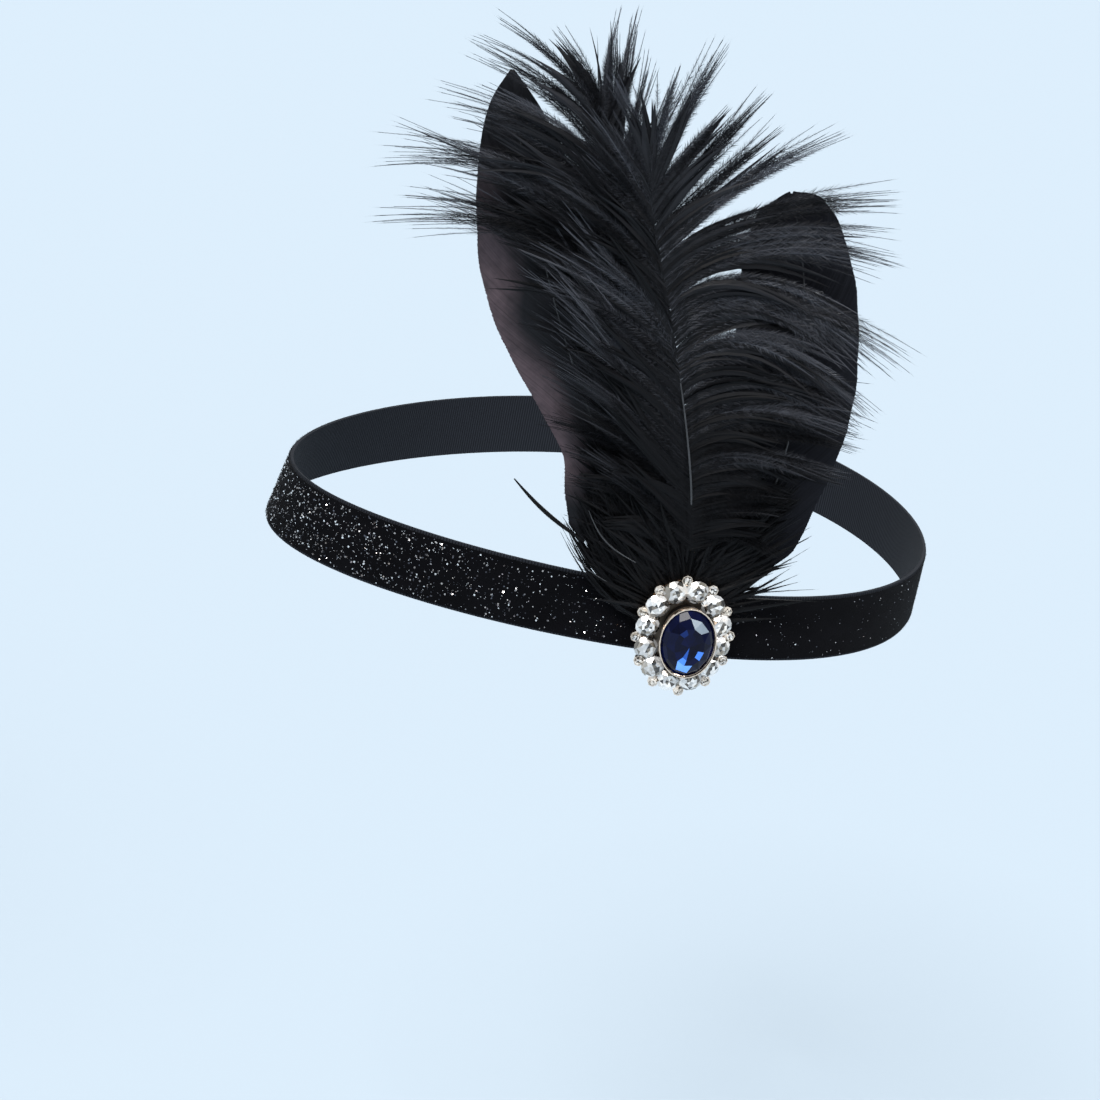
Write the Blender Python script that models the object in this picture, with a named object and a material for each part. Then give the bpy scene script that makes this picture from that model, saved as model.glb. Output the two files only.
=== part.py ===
"""A feather flapper headband: a loop of glitter velvet elastic, with two goose feathers and two
ostrich plumes held behind an oval brooch of cut stones.

Metres, +Z up. The origin is the middle of the head opening, half way up the band. -Y is the
wearer's front and +X the wearer's left, where the brooch sits. The band is level.
"""

import math

import bmesh
import bpy
import numpy as np
from mathutils import Matrix, Vector

# The band: an egg-shaped loop, narrower at the forehead, whose wall leans in at its top edge
BAND_LENGTH = 0.2026
BAND_WIDTH = 0.1540
BAND_TAPER = 0.22
BAND_HEIGHT = 0.020
BAND_WALL = 0.0012
FRONT_LEAN = math.radians(13.6)
BACK_LEAN = math.radians(1.0)
BAND_SECTIONS = 96

# The brooch's place on the band, as a turn round it from the wearer's front
BROOCH_TURN = math.radians(89.6)
BROOCH_ROLL = math.radians(7.5)
BROOCH_DROP = 0.0012

# The quills lie side by side between the band and the brooch
CLEARANCE = 0.0003
QUILL_RADIUS = 0.0014
QUILL_PITCH = 0.0034
QUILL_TAIL = 0.008
QUILL_TOP = 0.004
QUILL_FLANGE = 1.3

# The brooch: half sizes are of the ring through the middles of its twelve round stones
PLATE_WALL = 0.0010
PLATE_SIDES = 40
HALO_HALF_WIDTH = 0.0114
HALO_HALF_HEIGHT = 0.0143
HALO_COUNT = 12
HALO_STONE_RADIUS = 0.00285
ACCENT_STONE_RADIUS = 0.0012
ACCENT_OFFSET = 0.0030
CENTRE_HALF_WIDTH = 0.0077
CENTRE_HALF_HEIGHT = 0.0102
CENTRE_RISE = 0.0068
CUP_RISE = 0.0018
CUP_WALL = 0.0003
SOLDER_DEPTH = 0.0005
STONE_GAP = 0.00015
CLAW_RADIUS = 0.00055
TOWER_FOOT_INSET = 0.0014
TOWER_WAIST_INSET = 0.0002
TOWER_SIDES = 32
HALO_CUP_SIDES = 12
ACCENT_CUP_SIDES = 8
CLAW_SIDES = 6

# The cut of the stones: each rise is a share of the stone's half width, its table, girdle and
# culet shares of the same stone
ROUND_FACETS = 8
OVAL_FACETS = 12
HALO_CROWN = 0.42
ACCENT_CROWN = 0.50
CENTRE_CROWN = 0.36
TABLE_SHARE = 0.60
GIRDLE_SHARE = 0.12
CULET_SHARE = 0.12
ACCENT_DEPTH_SHARE = 0.8
CENTRE_DEPTH_SHARE = 0.62

# A round stone's cup: its foot and its pocket's floor as shares of its radius, and how far below
# the girdle its shoulder is, as a share of the stone's radius
CUP_FOOT_SHARE = 0.62
CUP_FLOOR_SHARE = 0.35
CUP_SHOULDER_SHARE = 0.25
TOWER_FLOOR_SHARE = 0.78

# Shares of a stone's radius: the plate's edge inside the small stones' middles, and the claws'
# place inside the ring and their rise over the girdles
PLATE_EDGE_SHARE = 0.4
CLAW_INSET_SHARE = 0.75
CLAW_RISE_SHARE = 0.3

# The feathers: each height is from the middle of the band, each sweep is sideways at the tip
VANE_WALL = 0.0010
VANE_CUP = 0.0035
FRONT_GOOSE_HEIGHT = 0.1465
FRONT_GOOSE_SWEEP = -0.0755
FRONT_GOOSE_HALF_WIDTH = 0.0188
REAR_GOOSE_HEIGHT = 0.1265
REAR_GOOSE_SWEEP = 0.0176
REAR_GOOSE_HALF_WIDTH = 0.0180
FRONT_PLUME_HEIGHT = 0.1300
FRONT_PLUME_SWEEP = -0.0385
BACK_PLUME_HEIGHT = 0.1400
BACK_PLUME_SWEEP = -0.0525
PLUME_STAND_OFF = 0.0140
BARB_LENGTH = 0.0720
LOCK_DEPTH = 0.0024
FRONT_PLUME_LIFT = 0.0035
BACK_PLUME_LIFT = 0.0
SHAFT_TAPER = 0.65
SHAFT_FLATNESS = 0.8
SHAFT_SHOULDER = 0.6

# Red, green and blue of the base colour, then roughness and metallic
FINISHES = {
    "velvet": (0.010, 0.010, 0.014, 0.95, 0.0),
    "goose": (0.030, 0.027, 0.030, 0.55, 0.0),
    "ostrich": (0.020, 0.020, 0.024, 0.70, 0.0),
    "rose_gold": (0.850, 0.620, 0.440, 0.22, 1.0),
    "sapphire_glass": (0.010, 0.025, 0.180, 0.05, 0.0),
    "clear_glass": (0.800, 0.830, 0.860, 0.05, 0.0),
}


def finish(name):
    """A material from the table of colours, made once."""
    material = bpy.data.materials.get(name)
    if material:
        return material
    red, green, blue, roughness, metallic = FINISHES[name]
    material = bpy.data.materials.new(name)
    material.use_nodes = True
    shader = material.node_tree.nodes["Principled BSDF"]
    shader.inputs["Base Color"].default_value = (red, green, blue, 1.0)
    shader.inputs["Roughness"].default_value = roughness
    shader.inputs["Metallic"].default_value = metallic
    material.diffuse_color = (red, green, blue, 1.0)
    return material


def solid(name, bm, material, parent=None, smooth=None):
    """An object made from a bmesh, hung on its parent, with faces that point out."""
    bmesh.ops.recalc_face_normals(bm, faces=bm.faces)
    if bm.calc_volume(signed=True) < 0:
        bmesh.ops.reverse_faces(bm, faces=bm.faces)
    mesh = bpy.data.meshes.new(name)
    bm.to_mesh(mesh)
    bm.free()
    mesh.materials.append(finish(material))
    if smooth:
        mesh.shade_smooth()
        mesh.set_sharp_from_angle(angle=math.radians(smooth))
    piece = bpy.data.objects.new(name, mesh)
    bpy.context.collection.objects.link(piece)
    piece.parent = parent
    return piece


def seat(name, parent, place):
    """An empty that carries the pieces hung on it."""
    empty = bpy.data.objects.new(name, None)
    bpy.context.collection.objects.link(empty)
    empty.parent = parent
    empty.matrix_local = place
    return empty


def skin(bm, sections):
    """A closed body lofted through rings of points, all listed the same way round."""
    rings = [[bm.verts.new(point) for point in section] for section in sections]
    walls = []
    for near, far in zip(rings, rings[1:]):
        corners = zip(near, near[1:] + near[:1], far[1:] + far[:1], far)
        walls.append([bm.faces.new(quad) for quad in corners])
    bm.faces.new(rings[0][::-1])
    bm.faces.new(rings[-1])
    return walls


def smooth_column(rows, column, share):
    """One column of a table at any share of its way, on a smooth curve through the rows."""
    ways = [row[0] for row in rows]
    values = [row[column] for row in rows]
    slopes = np.gradient(values, ways)
    at = min(max(int(np.searchsorted(ways, share)) - 1, 0), len(rows) - 2)
    span = ways[at + 1] - ways[at]
    s = (share - ways[at]) / span
    return (
        values[at] * (1 + 2 * s) * (1 - s) ** 2
        + values[at + 1] * s * s * (3 - 2 * s)
        + span * slopes[at] * s * (1 - s) ** 2
        + span * slopes[at + 1] * s * s * (s - 1)
    )


# The band

def band_middle(turn):
    """The wall's middle line at mid height, and the way out of the loop there."""
    side = BAND_WIDTH / 2
    reach = BAND_LENGTH / 2
    place = Vector((side * math.sin(turn) * (1 - BAND_TAPER * math.cos(turn)), -reach * math.cos(turn), 0))
    along = Vector((
        side * (math.cos(turn) - BAND_TAPER * math.cos(2 * turn)),
        reach * math.sin(turn),
        0,
    )).normalized()
    return place, along, along.cross(Vector((0, 0, 1)))


def band_lean(turn):
    """How far the wall's top leans in: most at the forehead, none at the sides."""
    ahead = math.cos(turn)
    return (FRONT_LEAN if ahead > 0 else BACK_LEAN) * ahead * ahead


def make_band():
    bm = bmesh.new()
    columns = []
    for k in range(BAND_SECTIONS):
        turn = 2 * math.pi * k / BAND_SECTIONS
        place, _, out = band_middle(turn)
        lean = band_lean(turn)
        rise = Vector((0, 0, math.cos(lean))) - out * math.sin(lean)
        columns.append([bm.verts.new(place + rise * half) for half in (-BAND_HEIGHT / 2, BAND_HEIGHT / 2)])
    for near, far in zip(columns, columns[1:] + columns[:1]):
        bm.faces.new((near[0], far[0], far[1], near[1]))
    band = solid("band", bm, "velvet", smooth=50)
    wall = band.modifiers.new("wall", "SOLIDIFY")
    wall.thickness = BAND_WALL
    wall.offset = 0
    wall.use_even_offset = True
    return band


# The goose feathers

# share of height, sweep, stand-off as a share of the quill's seat, quill radius, left and right
# half widths as shares of the widest, and how far the vane's edges cup back towards the head
FRONT_GOOSE_ROWS = [
    (0.075, 0.120, 0.90, 0.95, 0.55, 0.07, 0.0),
    (0.120, 0.200, 0.75, 0.88, 0.92, 0.15, 0.0),
    (0.190, 0.270, 0.62, 0.80, 0.96, 0.28, 0.4),
    (0.270, 0.365, 0.58, 0.72, 0.74, 0.48, 0.7),
    (0.330, 0.425, 0.58, 0.67, 0.60, 0.60, 0.9),
    (0.440, 0.550, 0.60, 0.60, 0.68, 0.70, 1.0),
    (0.550, 0.662, 0.60, 0.53, 0.85, 0.78, 1.0),
    (0.660, 0.762, 0.60, 0.46, 0.90, 0.80, 1.0),
    (0.770, 0.848, 0.55, 0.40, 0.78, 0.70, 0.9),
    (0.875, 0.927, 0.40, 0.32, 0.56, 0.48, 0.6),
    (0.955, 0.980, 0.25, 0.25, 0.28, 0.24, 0.3),
    (1.000, 1.000, 0.20, 0.20, 0.03, 0.03, 0.1),
]
REAR_GOOSE_ROWS = [
    (0.075, 0.400, 0.90, 0.95, 0.05, 0.42, 0.0),
    (0.120, 0.530, 0.80, 0.90, 0.16, 0.64, 0.0),
    (0.205, 0.740, 0.75, 0.85, 0.36, 0.74, 0.4),
    (0.330, 0.930, 0.75, 0.76, 0.66, 0.80, 0.8),
    (0.435, 0.995, 0.75, 0.68, 0.82, 0.90, 1.0),
    (0.550, 0.980, 0.75, 0.60, 0.92, 0.95, 1.0),
    (0.670, 0.885, 0.72, 0.52, 0.98, 0.91, 1.0),
    (0.790, 0.715, 0.66, 0.44, 0.96, 0.82, 0.9),
    (0.885, 0.510, 0.58, 0.36, 0.84, 0.68, 0.7),
    (0.950, 0.330, 0.50, 0.28, 0.60, 0.46, 0.4),
    (1.000, 0.180, 0.45, 0.20, 0.08, 0.08, 0.1),
]


def with_quill(rows, slot, height, sweep, seated):
    """A feather's rows, with two more for the straight quill in its slot behind the brooch."""
    across = slot * QUILL_PITCH / sweep
    ends = (-QUILL_TAIL / height, QUILL_TOP / height)
    return [(end, across, *seated) for end in ends] + rows


def goose_section(centre, across, quill, left, right, cup):
    """A vane's section: a front and a back face a wall apart, and the round quill between them."""
    left = max(left, quill * QUILL_FLANGE)
    right = max(right, quill * QUILL_FLANGE)
    stations = [-left, -(left + quill) / 2, -quill, 0, quill, (right + quill) / 2, right]
    front, back = [], []
    for station in stations:
        way = abs(station) / (left if station < 0 else right)
        half = quill if station == 0 else VANE_WALL / 2
        middle = centre + across * station - Vector((0, 0, cup * way * way))
        front.append(middle + Vector((0, 0, half)))
        back.append(middle - Vector((0, 0, half)))
    return front + back[::-1]


def make_goose_feather(name, carrier, slot, rows, height, sweep, half_width, quill_seat):
    bm = bmesh.new()
    rows = with_quill(rows, slot, height, sweep, (1, 1, 0, 0, 0))
    centres = [Vector((row[1] * sweep, row[0] * height, row[2] * quill_seat)) for row in rows]
    sections = []
    for k, row in enumerate(rows):
        before = centres[max(k - 1, 0)]
        after = centres[min(k + 1, len(rows) - 1)]
        heading = (after - before).normalized()
        across = Vector((heading.y, -heading.x, 0)).normalized()
        quill = row[3] * QUILL_RADIUS
        section = goose_section(
            centres[k], across, quill, row[4] * half_width, row[5] * half_width, row[6] * VANE_CUP
        )
        sections.append(section)
    skin(bm, sections)
    return solid(name, bm, "goose", carrier, smooth=30)


# The ostrich plumes

# share of height, sweep and stand-off of the shaft
FRONT_PLUME_SHAFT = [
    (0.108, 0.015, 0.000),
    (0.165, 0.070, 0.190),
    (0.230, 0.125, 0.420),
    (0.340, 0.225, 0.640),
    (0.545, 0.445, 0.800),
    (0.680, 0.610, 0.860),
    (0.790, 0.755, 0.900),
    (0.893, 0.895, 0.940),
    (1.000, 1.000, 1.000),
]
BACK_PLUME_SHAFT = [
    (0.105, 0.085, 0.000),
    (0.150, 0.140, 0.160),
    (0.250, 0.255, 0.235),
    (0.400, 0.400, 0.290),
    (0.570, 0.565, 0.340),
    (0.735, 0.735, 0.400),
    (0.865, 0.875, 0.450),
    (1.000, 1.000, 0.520),
]
# way up the shaft; then for each side the lock's length as a share of the longest barb, and its
# heading from straight up at its root and at its tip, in degrees
FRONT_PLUME_LOCKS = [
    (0.188, 0.00, -60, -70, 0.36, 94, 106),
    (0.242, 0.34, -52, -66, 0.42, 76, 96),
    (0.305, 0.46, -46, -62, 0.60, 60, 92),
    (0.375, 0.54, -44, -58, 0.74, 48, 88),
    (0.445, 0.60, -44, -56, 0.82, 42, 86),
    (0.515, 0.66, -46, -56, 0.88, 36, 88),
    (0.585, 0.70, -48, -56, 0.92, 33, 92),
    (0.655, 0.72, -48, -58, 0.94, 31, 92),
    (0.725, 0.70, -46, -58, 0.92, 29, 84),
    (0.795, 0.66, -44, -58, 0.80, 29, 62),
    (0.860, 0.60, -40, -54, 0.74, 26, 48),
    (0.920, 0.54, -34, -46, 0.62, 19, 30),
    (0.970, 0.48, -26, -34, 0.52, 8, 16),
]
BACK_PLUME_LOCKS = [
    (0.172, 0.34, -78, -94, 0.00, 30, 40),
    (0.222, 0.40, -66, -84, 0.16, 20, 30),
    (0.285, 0.50, -54, -72, 0.20, 16, 26),
    (0.360, 0.62, -50, -66, 0.24, 12, 24),
    (0.435, 0.74, -50, -66, 0.28, 10, 22),
    (0.510, 0.86, -50, -70, 0.30, 8, 20),
    (0.585, 0.98, -50, -76, 0.32, 6, 18),
    (0.655, 1.00, -48, -80, 0.34, 4, 16),
    (0.725, 0.98, -44, -84, 0.36, 2, 14),
    (0.795, 0.86, -38, -66, 0.40, 2, 16),
    (0.860, 0.74, -32, -56, 0.42, 4, 20),
    (0.920, 0.64, -26, -48, 0.42, 6, 24),
    (0.970, 0.54, -20, -36, 0.42, 6, 22),
]
# way along a lock, its half width as a share of the room up to the next lock, and its half depth
LOCK_ROWS = [
    (0.10, 0.88, 0.85),
    (0.26, 0.92, 1.00),
    (0.44, 0.94, 1.00),
    (0.62, 0.90, 0.85),
    (0.80, 0.62, 0.65),
    (1.00, 0.08, 0.20),
]
# the tuft that ends a plume: way on past the shaft as a share of the longest barb, half width and
# half depth as shares of a lock's depth
TUFT_ROWS = [
    (0.05, 0.55, 0.45),
    (0.16, 0.90, 0.50),
    (0.28, 0.60, 0.40),
    (0.38, 0.06, 0.10),
]


def shaft_section(centre, across, half_width, half_depth):
    """A hexagonal section whose two flat sides face across, where the locks grow."""
    depth = Vector((0, 0, half_depth))
    shoulder = depth * SHAFT_SHOULDER
    side = across * half_width
    return [
        centre + depth,
        centre + side + shoulder,
        centre + side - shoulder,
        centre - depth,
        centre - side - shoulder,
        centre - side + shoulder,
    ]


def lock_path(middle, length, start, end):
    """A lock's centres, and its way upward across itself, as its heading turns from start to end."""
    way, place, path = 0.0, middle, []
    for row in LOCK_ROWS:
        heading = math.radians(start + (end - start) * row[0])
        towards = Vector((math.sin(heading), math.cos(heading), 0))
        place = place + towards * length * (row[0] - way)
        way = row[0]
        upward = Vector((-towards.y, towards.x, 0)) * math.copysign(1, start)
        path.append((place, upward))
    return path


def grow_lock(bm, root, up_shaft, path, neighbours, lift):
    """Extrudes a side face of the shaft into a curved, tapered lock of barbs."""
    middle = root.calc_center_median()
    is_upper = [(corner.co - middle).dot(up_shaft) > 0 for corner in root.verts]
    levels = [sum(c.co.z for c, u in zip(root.verts, is_upper) if u is end) / 2 for end in (False, True)]
    is_front = [corner.co.z > levels[upper] for corner, upper in zip(root.verts, is_upper)]
    face = root
    for k, ((way, width, depth), (place, upward)) in enumerate(zip(LOCK_ROWS, path)):
        room = min(abs((other[k][0] - place).dot(upward)) for other in neighbours) / 2
        centre = place + Vector((0, 0, lift * way * way))
        face = bmesh.ops.extrude_discrete_faces(bm, faces=[face])["faces"][0]
        for corner, upper, front in zip(face.verts, is_upper, is_front):
            aside = upward * room * width * (1 if upper else -1)
            ahead = LOCK_DEPTH / 2 * depth * (1 if front else -1)
            corner.co = centre + aside + Vector((0, 0, ahead))


def make_plume(name, carrier, slot, shaft, locks, height, sweep, quill_seat, lift):
    bm = bmesh.new()
    shaft = with_quill(shaft, slot, height, sweep, (0,))

    def shaft_point(share):
        stand_off = quill_seat + smooth_column(shaft, 2, share) * PLUME_STAND_OFF
        return Vector((smooth_column(shaft, 1, share) * sweep, share * height, stand_off))

    ways = [locks[0][0]]
    for lower, upper in zip(locks, locks[1:]):
        ways.append((lower[0] + upper[0]) / 2)
    ways.append(1.0)
    ways[0] = locks[0][0] * 2 - ways[1]
    short_way = 0.01
    quill = [row[0] for row in shaft if row[0] < ways[0] - 2 * short_way]
    sections = []
    for share in quill + ways:
        centre = shaft_point(share)
        heading = shaft_point(share + short_way) - shaft_point(share - short_way)
        across = Vector((heading.y, -heading.x, 0)).normalized()
        radius = QUILL_RADIUS * (1 - SHAFT_TAPER * max(share, 0))
        sections.append(shaft_section(centre, across, radius * SHAFT_FLATNESS, radius))
    onward = heading.normalized()
    for way, half_width, half_depth in TUFT_ROWS:
        middle = centre + onward * way * BARB_LENGTH
        sections.append(shaft_section(middle, across, half_width * LOCK_DEPTH, half_depth * LOCK_DEPTH))
    walls = skin(bm, sections)[len(quill):]
    for side, first in ((4, 1), (1, 4)):
        grown = [k for k, row in enumerate(locks) if row[first]]
        paths = []
        for k in grown:
            share, start, end = locks[k][first:first + 3]
            middle = walls[k][side].calc_center_median()
            paths.append(lock_path(middle, share * BARB_LENGTH, start, end))
        for at, k in enumerate(grown):
            up_shaft = shaft_point(ways[k + 1]) - shaft_point(ways[k])
            up_shaft.z = 0
            neighbours = paths[max(at - 1, 0):at] + paths[at + 1:at + 2]
            grow_lock(bm, walls[k][side], up_shaft, paths[at], neighbours, lift)
    return solid(name, bm, "ostrich", carrier)


# The brooch

def oval(half_width, half_height, rise, sides):
    return [
        Vector((
            half_width * math.cos(2 * math.pi * k / sides),
            half_height * math.sin(2 * math.pi * k / sides),
            rise,
        ))
        for k in range(sides)
    ]


def cut_stone(name, carrier, half_width, half_height, facets, crown, pavilion, material):
    """The hull of a table, a thin girdle and a culet: a faceted stone whose girdle is at rise 0."""
    bm = bmesh.new()
    girdle = crown * GIRDLE_SHARE
    step = math.pi / facets
    for share, rise, turn, sides in (
        (TABLE_SHARE, crown, step, facets),
        (1, girdle, 0, facets * 2),
        (1, -girdle, 0, facets * 2),
        (CULET_SHARE, -pavilion, step, facets),
    ):
        for k in range(sides):
            angle = 2 * math.pi * k / sides + turn
            place = (half_width * share * math.cos(angle), half_height * share * math.sin(angle), rise)
            bm.verts.new(place)
    bmesh.ops.convex_hull(bm, input=bm.verts)
    loose = [vert for vert in bm.verts if not vert.link_faces]
    bmesh.ops.delete(bm, geom=loose, context="VERTS")
    flat = math.radians(1)
    bmesh.ops.dissolve_limit(bm, angle_limit=flat, verts=bm.verts, edges=bm.edges)
    return solid(name, bm, material, carrier)


def halo_places(offset):
    """Points an equal way apart round the ring, a stone either side of the top. Returns the stones'
    places, and the places between them moved out of the ring by the offset."""
    half_width, half_height = HALO_HALF_WIDTH, HALO_HALF_HEIGHT
    fine = 720
    angles = [2 * math.pi * k / fine for k in range(fine + 1)]
    points = [(half_width * math.sin(a), half_height * math.cos(a)) for a in angles]
    steps = [math.dist(p, q) for p, q in zip(points, points[1:])]
    ways = np.concatenate([[0], np.cumsum(steps)])
    places = []
    for half_step in range(2 * HALO_COUNT):
        angle = np.interp(ways[-1] * half_step / (2 * HALO_COUNT), ways, angles)
        out = Vector((half_height * math.sin(angle), half_width * math.cos(angle), 0)).normalized()
        at = Vector((half_width * math.sin(angle), half_height * math.cos(angle), 0))
        places.append(at + out * (offset if half_step % 2 == 0 else 0))
    return places[1::2], places[0::2]


def add_cup(bm, place, stone_radius, pavilion, sides):
    """An open cup for a round stone: a cone out of the plate, a rim, and the stone's pocket."""
    inner = stone_radius + STONE_GAP
    outer = inner + CUP_WALL
    floor = PLATE_WALL - SOLDER_DEPTH
    girdle = PLATE_WALL + CUP_RISE
    profile = (
        (outer * CUP_FOOT_SHARE, floor),
        (outer, girdle - stone_radius * CUP_SHOULDER_SHARE),
        (outer, girdle + CUP_WALL),
        (inner, girdle + CUP_WALL),
        (inner, girdle - stone_radius * GIRDLE_SHARE),
        (inner * CUP_FLOOR_SHARE, girdle - pavilion - STONE_GAP),
    )
    skin(bm, [[place + point for point in oval(r, r, z, sides)] for r, z in profile])


# share of a claw's height, share of its radius, and its lean inwards as a share of its radius
CLAW_ROWS = [
    (0.00, 1.00, 0.0),
    (0.65, 0.90, 0.1),
    (0.91, 0.80, 0.3),
    (1.00, 0.35, 0.4),
]


def add_claw(bm, place, inward, rise):
    """A round-ended claw, leaning a little over the stones beside it."""
    foot = PLATE_WALL - SOLDER_DEPTH
    sections = []
    for way, share, lean in CLAW_ROWS:
        height = foot + way * (rise - foot)
        centre = place + inward * lean * CLAW_RADIUS + Vector((0, 0, height))
        radius = CLAW_RADIUS * share
        sections.append([centre + point for point in oval(radius, radius, 0, CLAW_SIDES)])
    skin(bm, sections)


def join_on(body, name, bm):
    """Unions closed shapes on a body, with the shapes kept as a hidden cutter."""
    cutter = solid(name, bm, "rose_gold", body.parent)
    cutter.hide_render = True
    cutter.display_type = "WIRE"
    union = body.modifiers.new(name, "BOOLEAN")
    union.operation = "UNION"
    union.solver = "EXACT"
    union.object = cutter


def ring_oval(outset, rise, sides):
    """An oval parallel to the ring of round stones."""
    return oval(HALO_HALF_WIDTH + outset, HALO_HALF_HEIGHT + outset, rise, sides)


def centre_oval(outset, rise):
    """An oval parallel to the middle stone's girdle."""
    return oval(CENTRE_HALF_WIDTH + outset, CENTRE_HALF_HEIGHT + outset, rise, TOWER_SIDES)


def make_setting(carrier, stones, between, halo_pavilion, accent_pavilion, centre_pavilion):
    """The back plate with the middle stone's tower, the round stones' cups and their claws."""
    plate = bmesh.new()
    edge = ACCENT_OFFSET - ACCENT_STONE_RADIUS * PLATE_EDGE_SHARE
    skin(plate, [ring_oval(edge, rise, PLATE_SIDES) for rise in (0, PLATE_WALL)])
    setting = solid("brooch_setting", plate, "rose_gold", carrier, smooth=35)

    girdle = PLATE_WALL + CENTRE_RISE
    wall = STONE_GAP + CUP_WALL
    profile = (
        (-TOWER_FOOT_INSET, PLATE_WALL - SOLDER_DEPTH),
        (-TOWER_WAIST_INSET, PLATE_WALL + CENTRE_RISE / 2),
        (wall, girdle - CUP_WALL),
        (wall, girdle + CUP_WALL),
        (STONE_GAP, girdle + CUP_WALL),
        (STONE_GAP, girdle - CUP_WALL),
        (-CENTRE_HALF_WIDTH * TOWER_FLOOR_SHARE, girdle - centre_pavilion - STONE_GAP * 2),
    )
    tower = bmesh.new()
    skin(tower, [centre_oval(outset, rise) for outset, rise in profile])
    join_on(setting, "centre_tower", tower)

    # Neighbouring cups overlap, so every second one goes into a cutter of its own
    for first, group in enumerate(("even", "odd")):
        halo_cups = bmesh.new()
        for place in stones[first::2]:
            add_cup(halo_cups, place, HALO_STONE_RADIUS, halo_pavilion, HALO_CUP_SIDES)
        join_on(setting, f"{group}_halo_cups", halo_cups)

    accent_cups = bmesh.new()
    for place in between:
        add_cup(accent_cups, place, ACCENT_STONE_RADIUS, accent_pavilion, ACCENT_CUP_SIDES)
    join_on(setting, "accent_cups", accent_cups)

    _, claw_places = halo_places(-HALO_STONE_RADIUS * CLAW_INSET_SHARE)
    claws = bmesh.new()
    for place in claw_places:
        rise = PLATE_WALL + CUP_RISE + HALO_STONE_RADIUS * CLAW_RISE_SHARE
        add_claw(claws, place, -place.normalized(), rise)
    join_on(setting, "claws", claws)


def make_brooch(carrier):
    stones, between = halo_places(ACCENT_OFFSET)
    halo_pavilion = CUP_RISE - STONE_GAP
    accent_pavilion = halo_pavilion * ACCENT_DEPTH_SHARE
    centre_pavilion = CENTRE_RISE * CENTRE_DEPTH_SHARE
    make_setting(carrier, stones, between, halo_pavilion, accent_pavilion, centre_pavilion)

    for kind, places, radius, crown, pavilion in (
        ("halo_stone", stones, HALO_STONE_RADIUS, HALO_CROWN, halo_pavilion),
        ("accent_stone", between, ACCENT_STONE_RADIUS, ACCENT_CROWN, accent_pavilion),
    ):
        for k, place in enumerate(places):
            name = f"{kind}_{k + 1:02d}"
            stone = cut_stone(
                name, carrier, radius, radius, ROUND_FACETS, radius * crown, pavilion, "clear_glass"
            )
            stone.location = place + Vector((0, 0, PLATE_WALL + CUP_RISE))
    stone = cut_stone(
        "centre_stone", carrier, CENTRE_HALF_WIDTH, CENTRE_HALF_HEIGHT, OVAL_FACETS,
        CENTRE_HALF_WIDTH * CENTRE_CROWN, centre_pavilion, "sapphire_glass",
    )
    stone.location = (0, 0, PLATE_WALL + CENTRE_RISE)


def main():
    for thing in list(bpy.data.objects):
        bpy.data.objects.remove(thing, do_unlink=True)
    make_band()

    place, along, out = band_middle(BROOCH_TURN)
    place = place + out * BAND_WALL / 2
    up = Vector((0, 0, 1))
    frame = Matrix.Translation(place) @ Matrix((along, up, out)).transposed().to_4x4()
    feather_seat = seat("feather_seat", None, frame)
    quill_seat = CLEARANCE + QUILL_RADIUS
    brooch_back = CLEARANCE * 2 + QUILL_RADIUS * 2
    on_quills = Matrix.Translation((0, -BROOCH_DROP, brooch_back)) @ Matrix.Rotation(BROOCH_ROLL, 4, "Z")
    brooch_seat = seat("brooch_seat", feather_seat, on_quills)

    make_goose_feather(
        "goose_feather_front", feather_seat, -1.5, FRONT_GOOSE_ROWS,
        FRONT_GOOSE_HEIGHT, FRONT_GOOSE_SWEEP, FRONT_GOOSE_HALF_WIDTH, quill_seat,
    )
    make_goose_feather(
        "goose_feather_rear", feather_seat, 1.5, REAR_GOOSE_ROWS,
        REAR_GOOSE_HEIGHT, REAR_GOOSE_SWEEP, REAR_GOOSE_HALF_WIDTH, quill_seat,
    )
    make_plume(
        "ostrich_plume_back", feather_seat, -0.5, BACK_PLUME_SHAFT, BACK_PLUME_LOCKS,
        BACK_PLUME_HEIGHT, BACK_PLUME_SWEEP, quill_seat, BACK_PLUME_LIFT,
    )
    make_plume(
        "ostrich_plume_front", feather_seat, 0.5, FRONT_PLUME_SHAFT, FRONT_PLUME_LOCKS,
        FRONT_PLUME_HEIGHT, FRONT_PLUME_SWEEP, quill_seat, FRONT_PLUME_LIFT,
    )
    make_brooch(brooch_seat)


main()
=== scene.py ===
"""The looks of a feather flapper headband: a loop of glitter velvet elastic, two goose feathers and
two ostrich plumes behind an oval brooch of cut stones. Metres, +Z up.

Feathers are worked out in the seat's own directions: sideways along the band, up, and out.
"""

import math
from collections import namedtuple

import bmesh
import bpy
import numpy as np
from mathutils import Matrix


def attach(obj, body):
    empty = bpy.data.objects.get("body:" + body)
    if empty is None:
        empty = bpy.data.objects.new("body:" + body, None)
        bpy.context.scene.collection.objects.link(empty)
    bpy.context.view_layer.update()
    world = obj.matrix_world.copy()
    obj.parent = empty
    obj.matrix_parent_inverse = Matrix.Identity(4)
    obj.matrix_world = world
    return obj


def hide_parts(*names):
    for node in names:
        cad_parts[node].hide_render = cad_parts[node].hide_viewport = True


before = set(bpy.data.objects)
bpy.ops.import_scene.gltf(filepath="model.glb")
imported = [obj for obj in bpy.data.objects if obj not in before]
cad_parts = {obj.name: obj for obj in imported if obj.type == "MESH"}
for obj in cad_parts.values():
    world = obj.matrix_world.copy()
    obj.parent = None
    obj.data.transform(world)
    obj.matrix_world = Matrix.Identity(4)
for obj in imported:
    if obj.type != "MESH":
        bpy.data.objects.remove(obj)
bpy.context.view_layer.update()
chance = np.random.default_rng(7)

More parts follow.
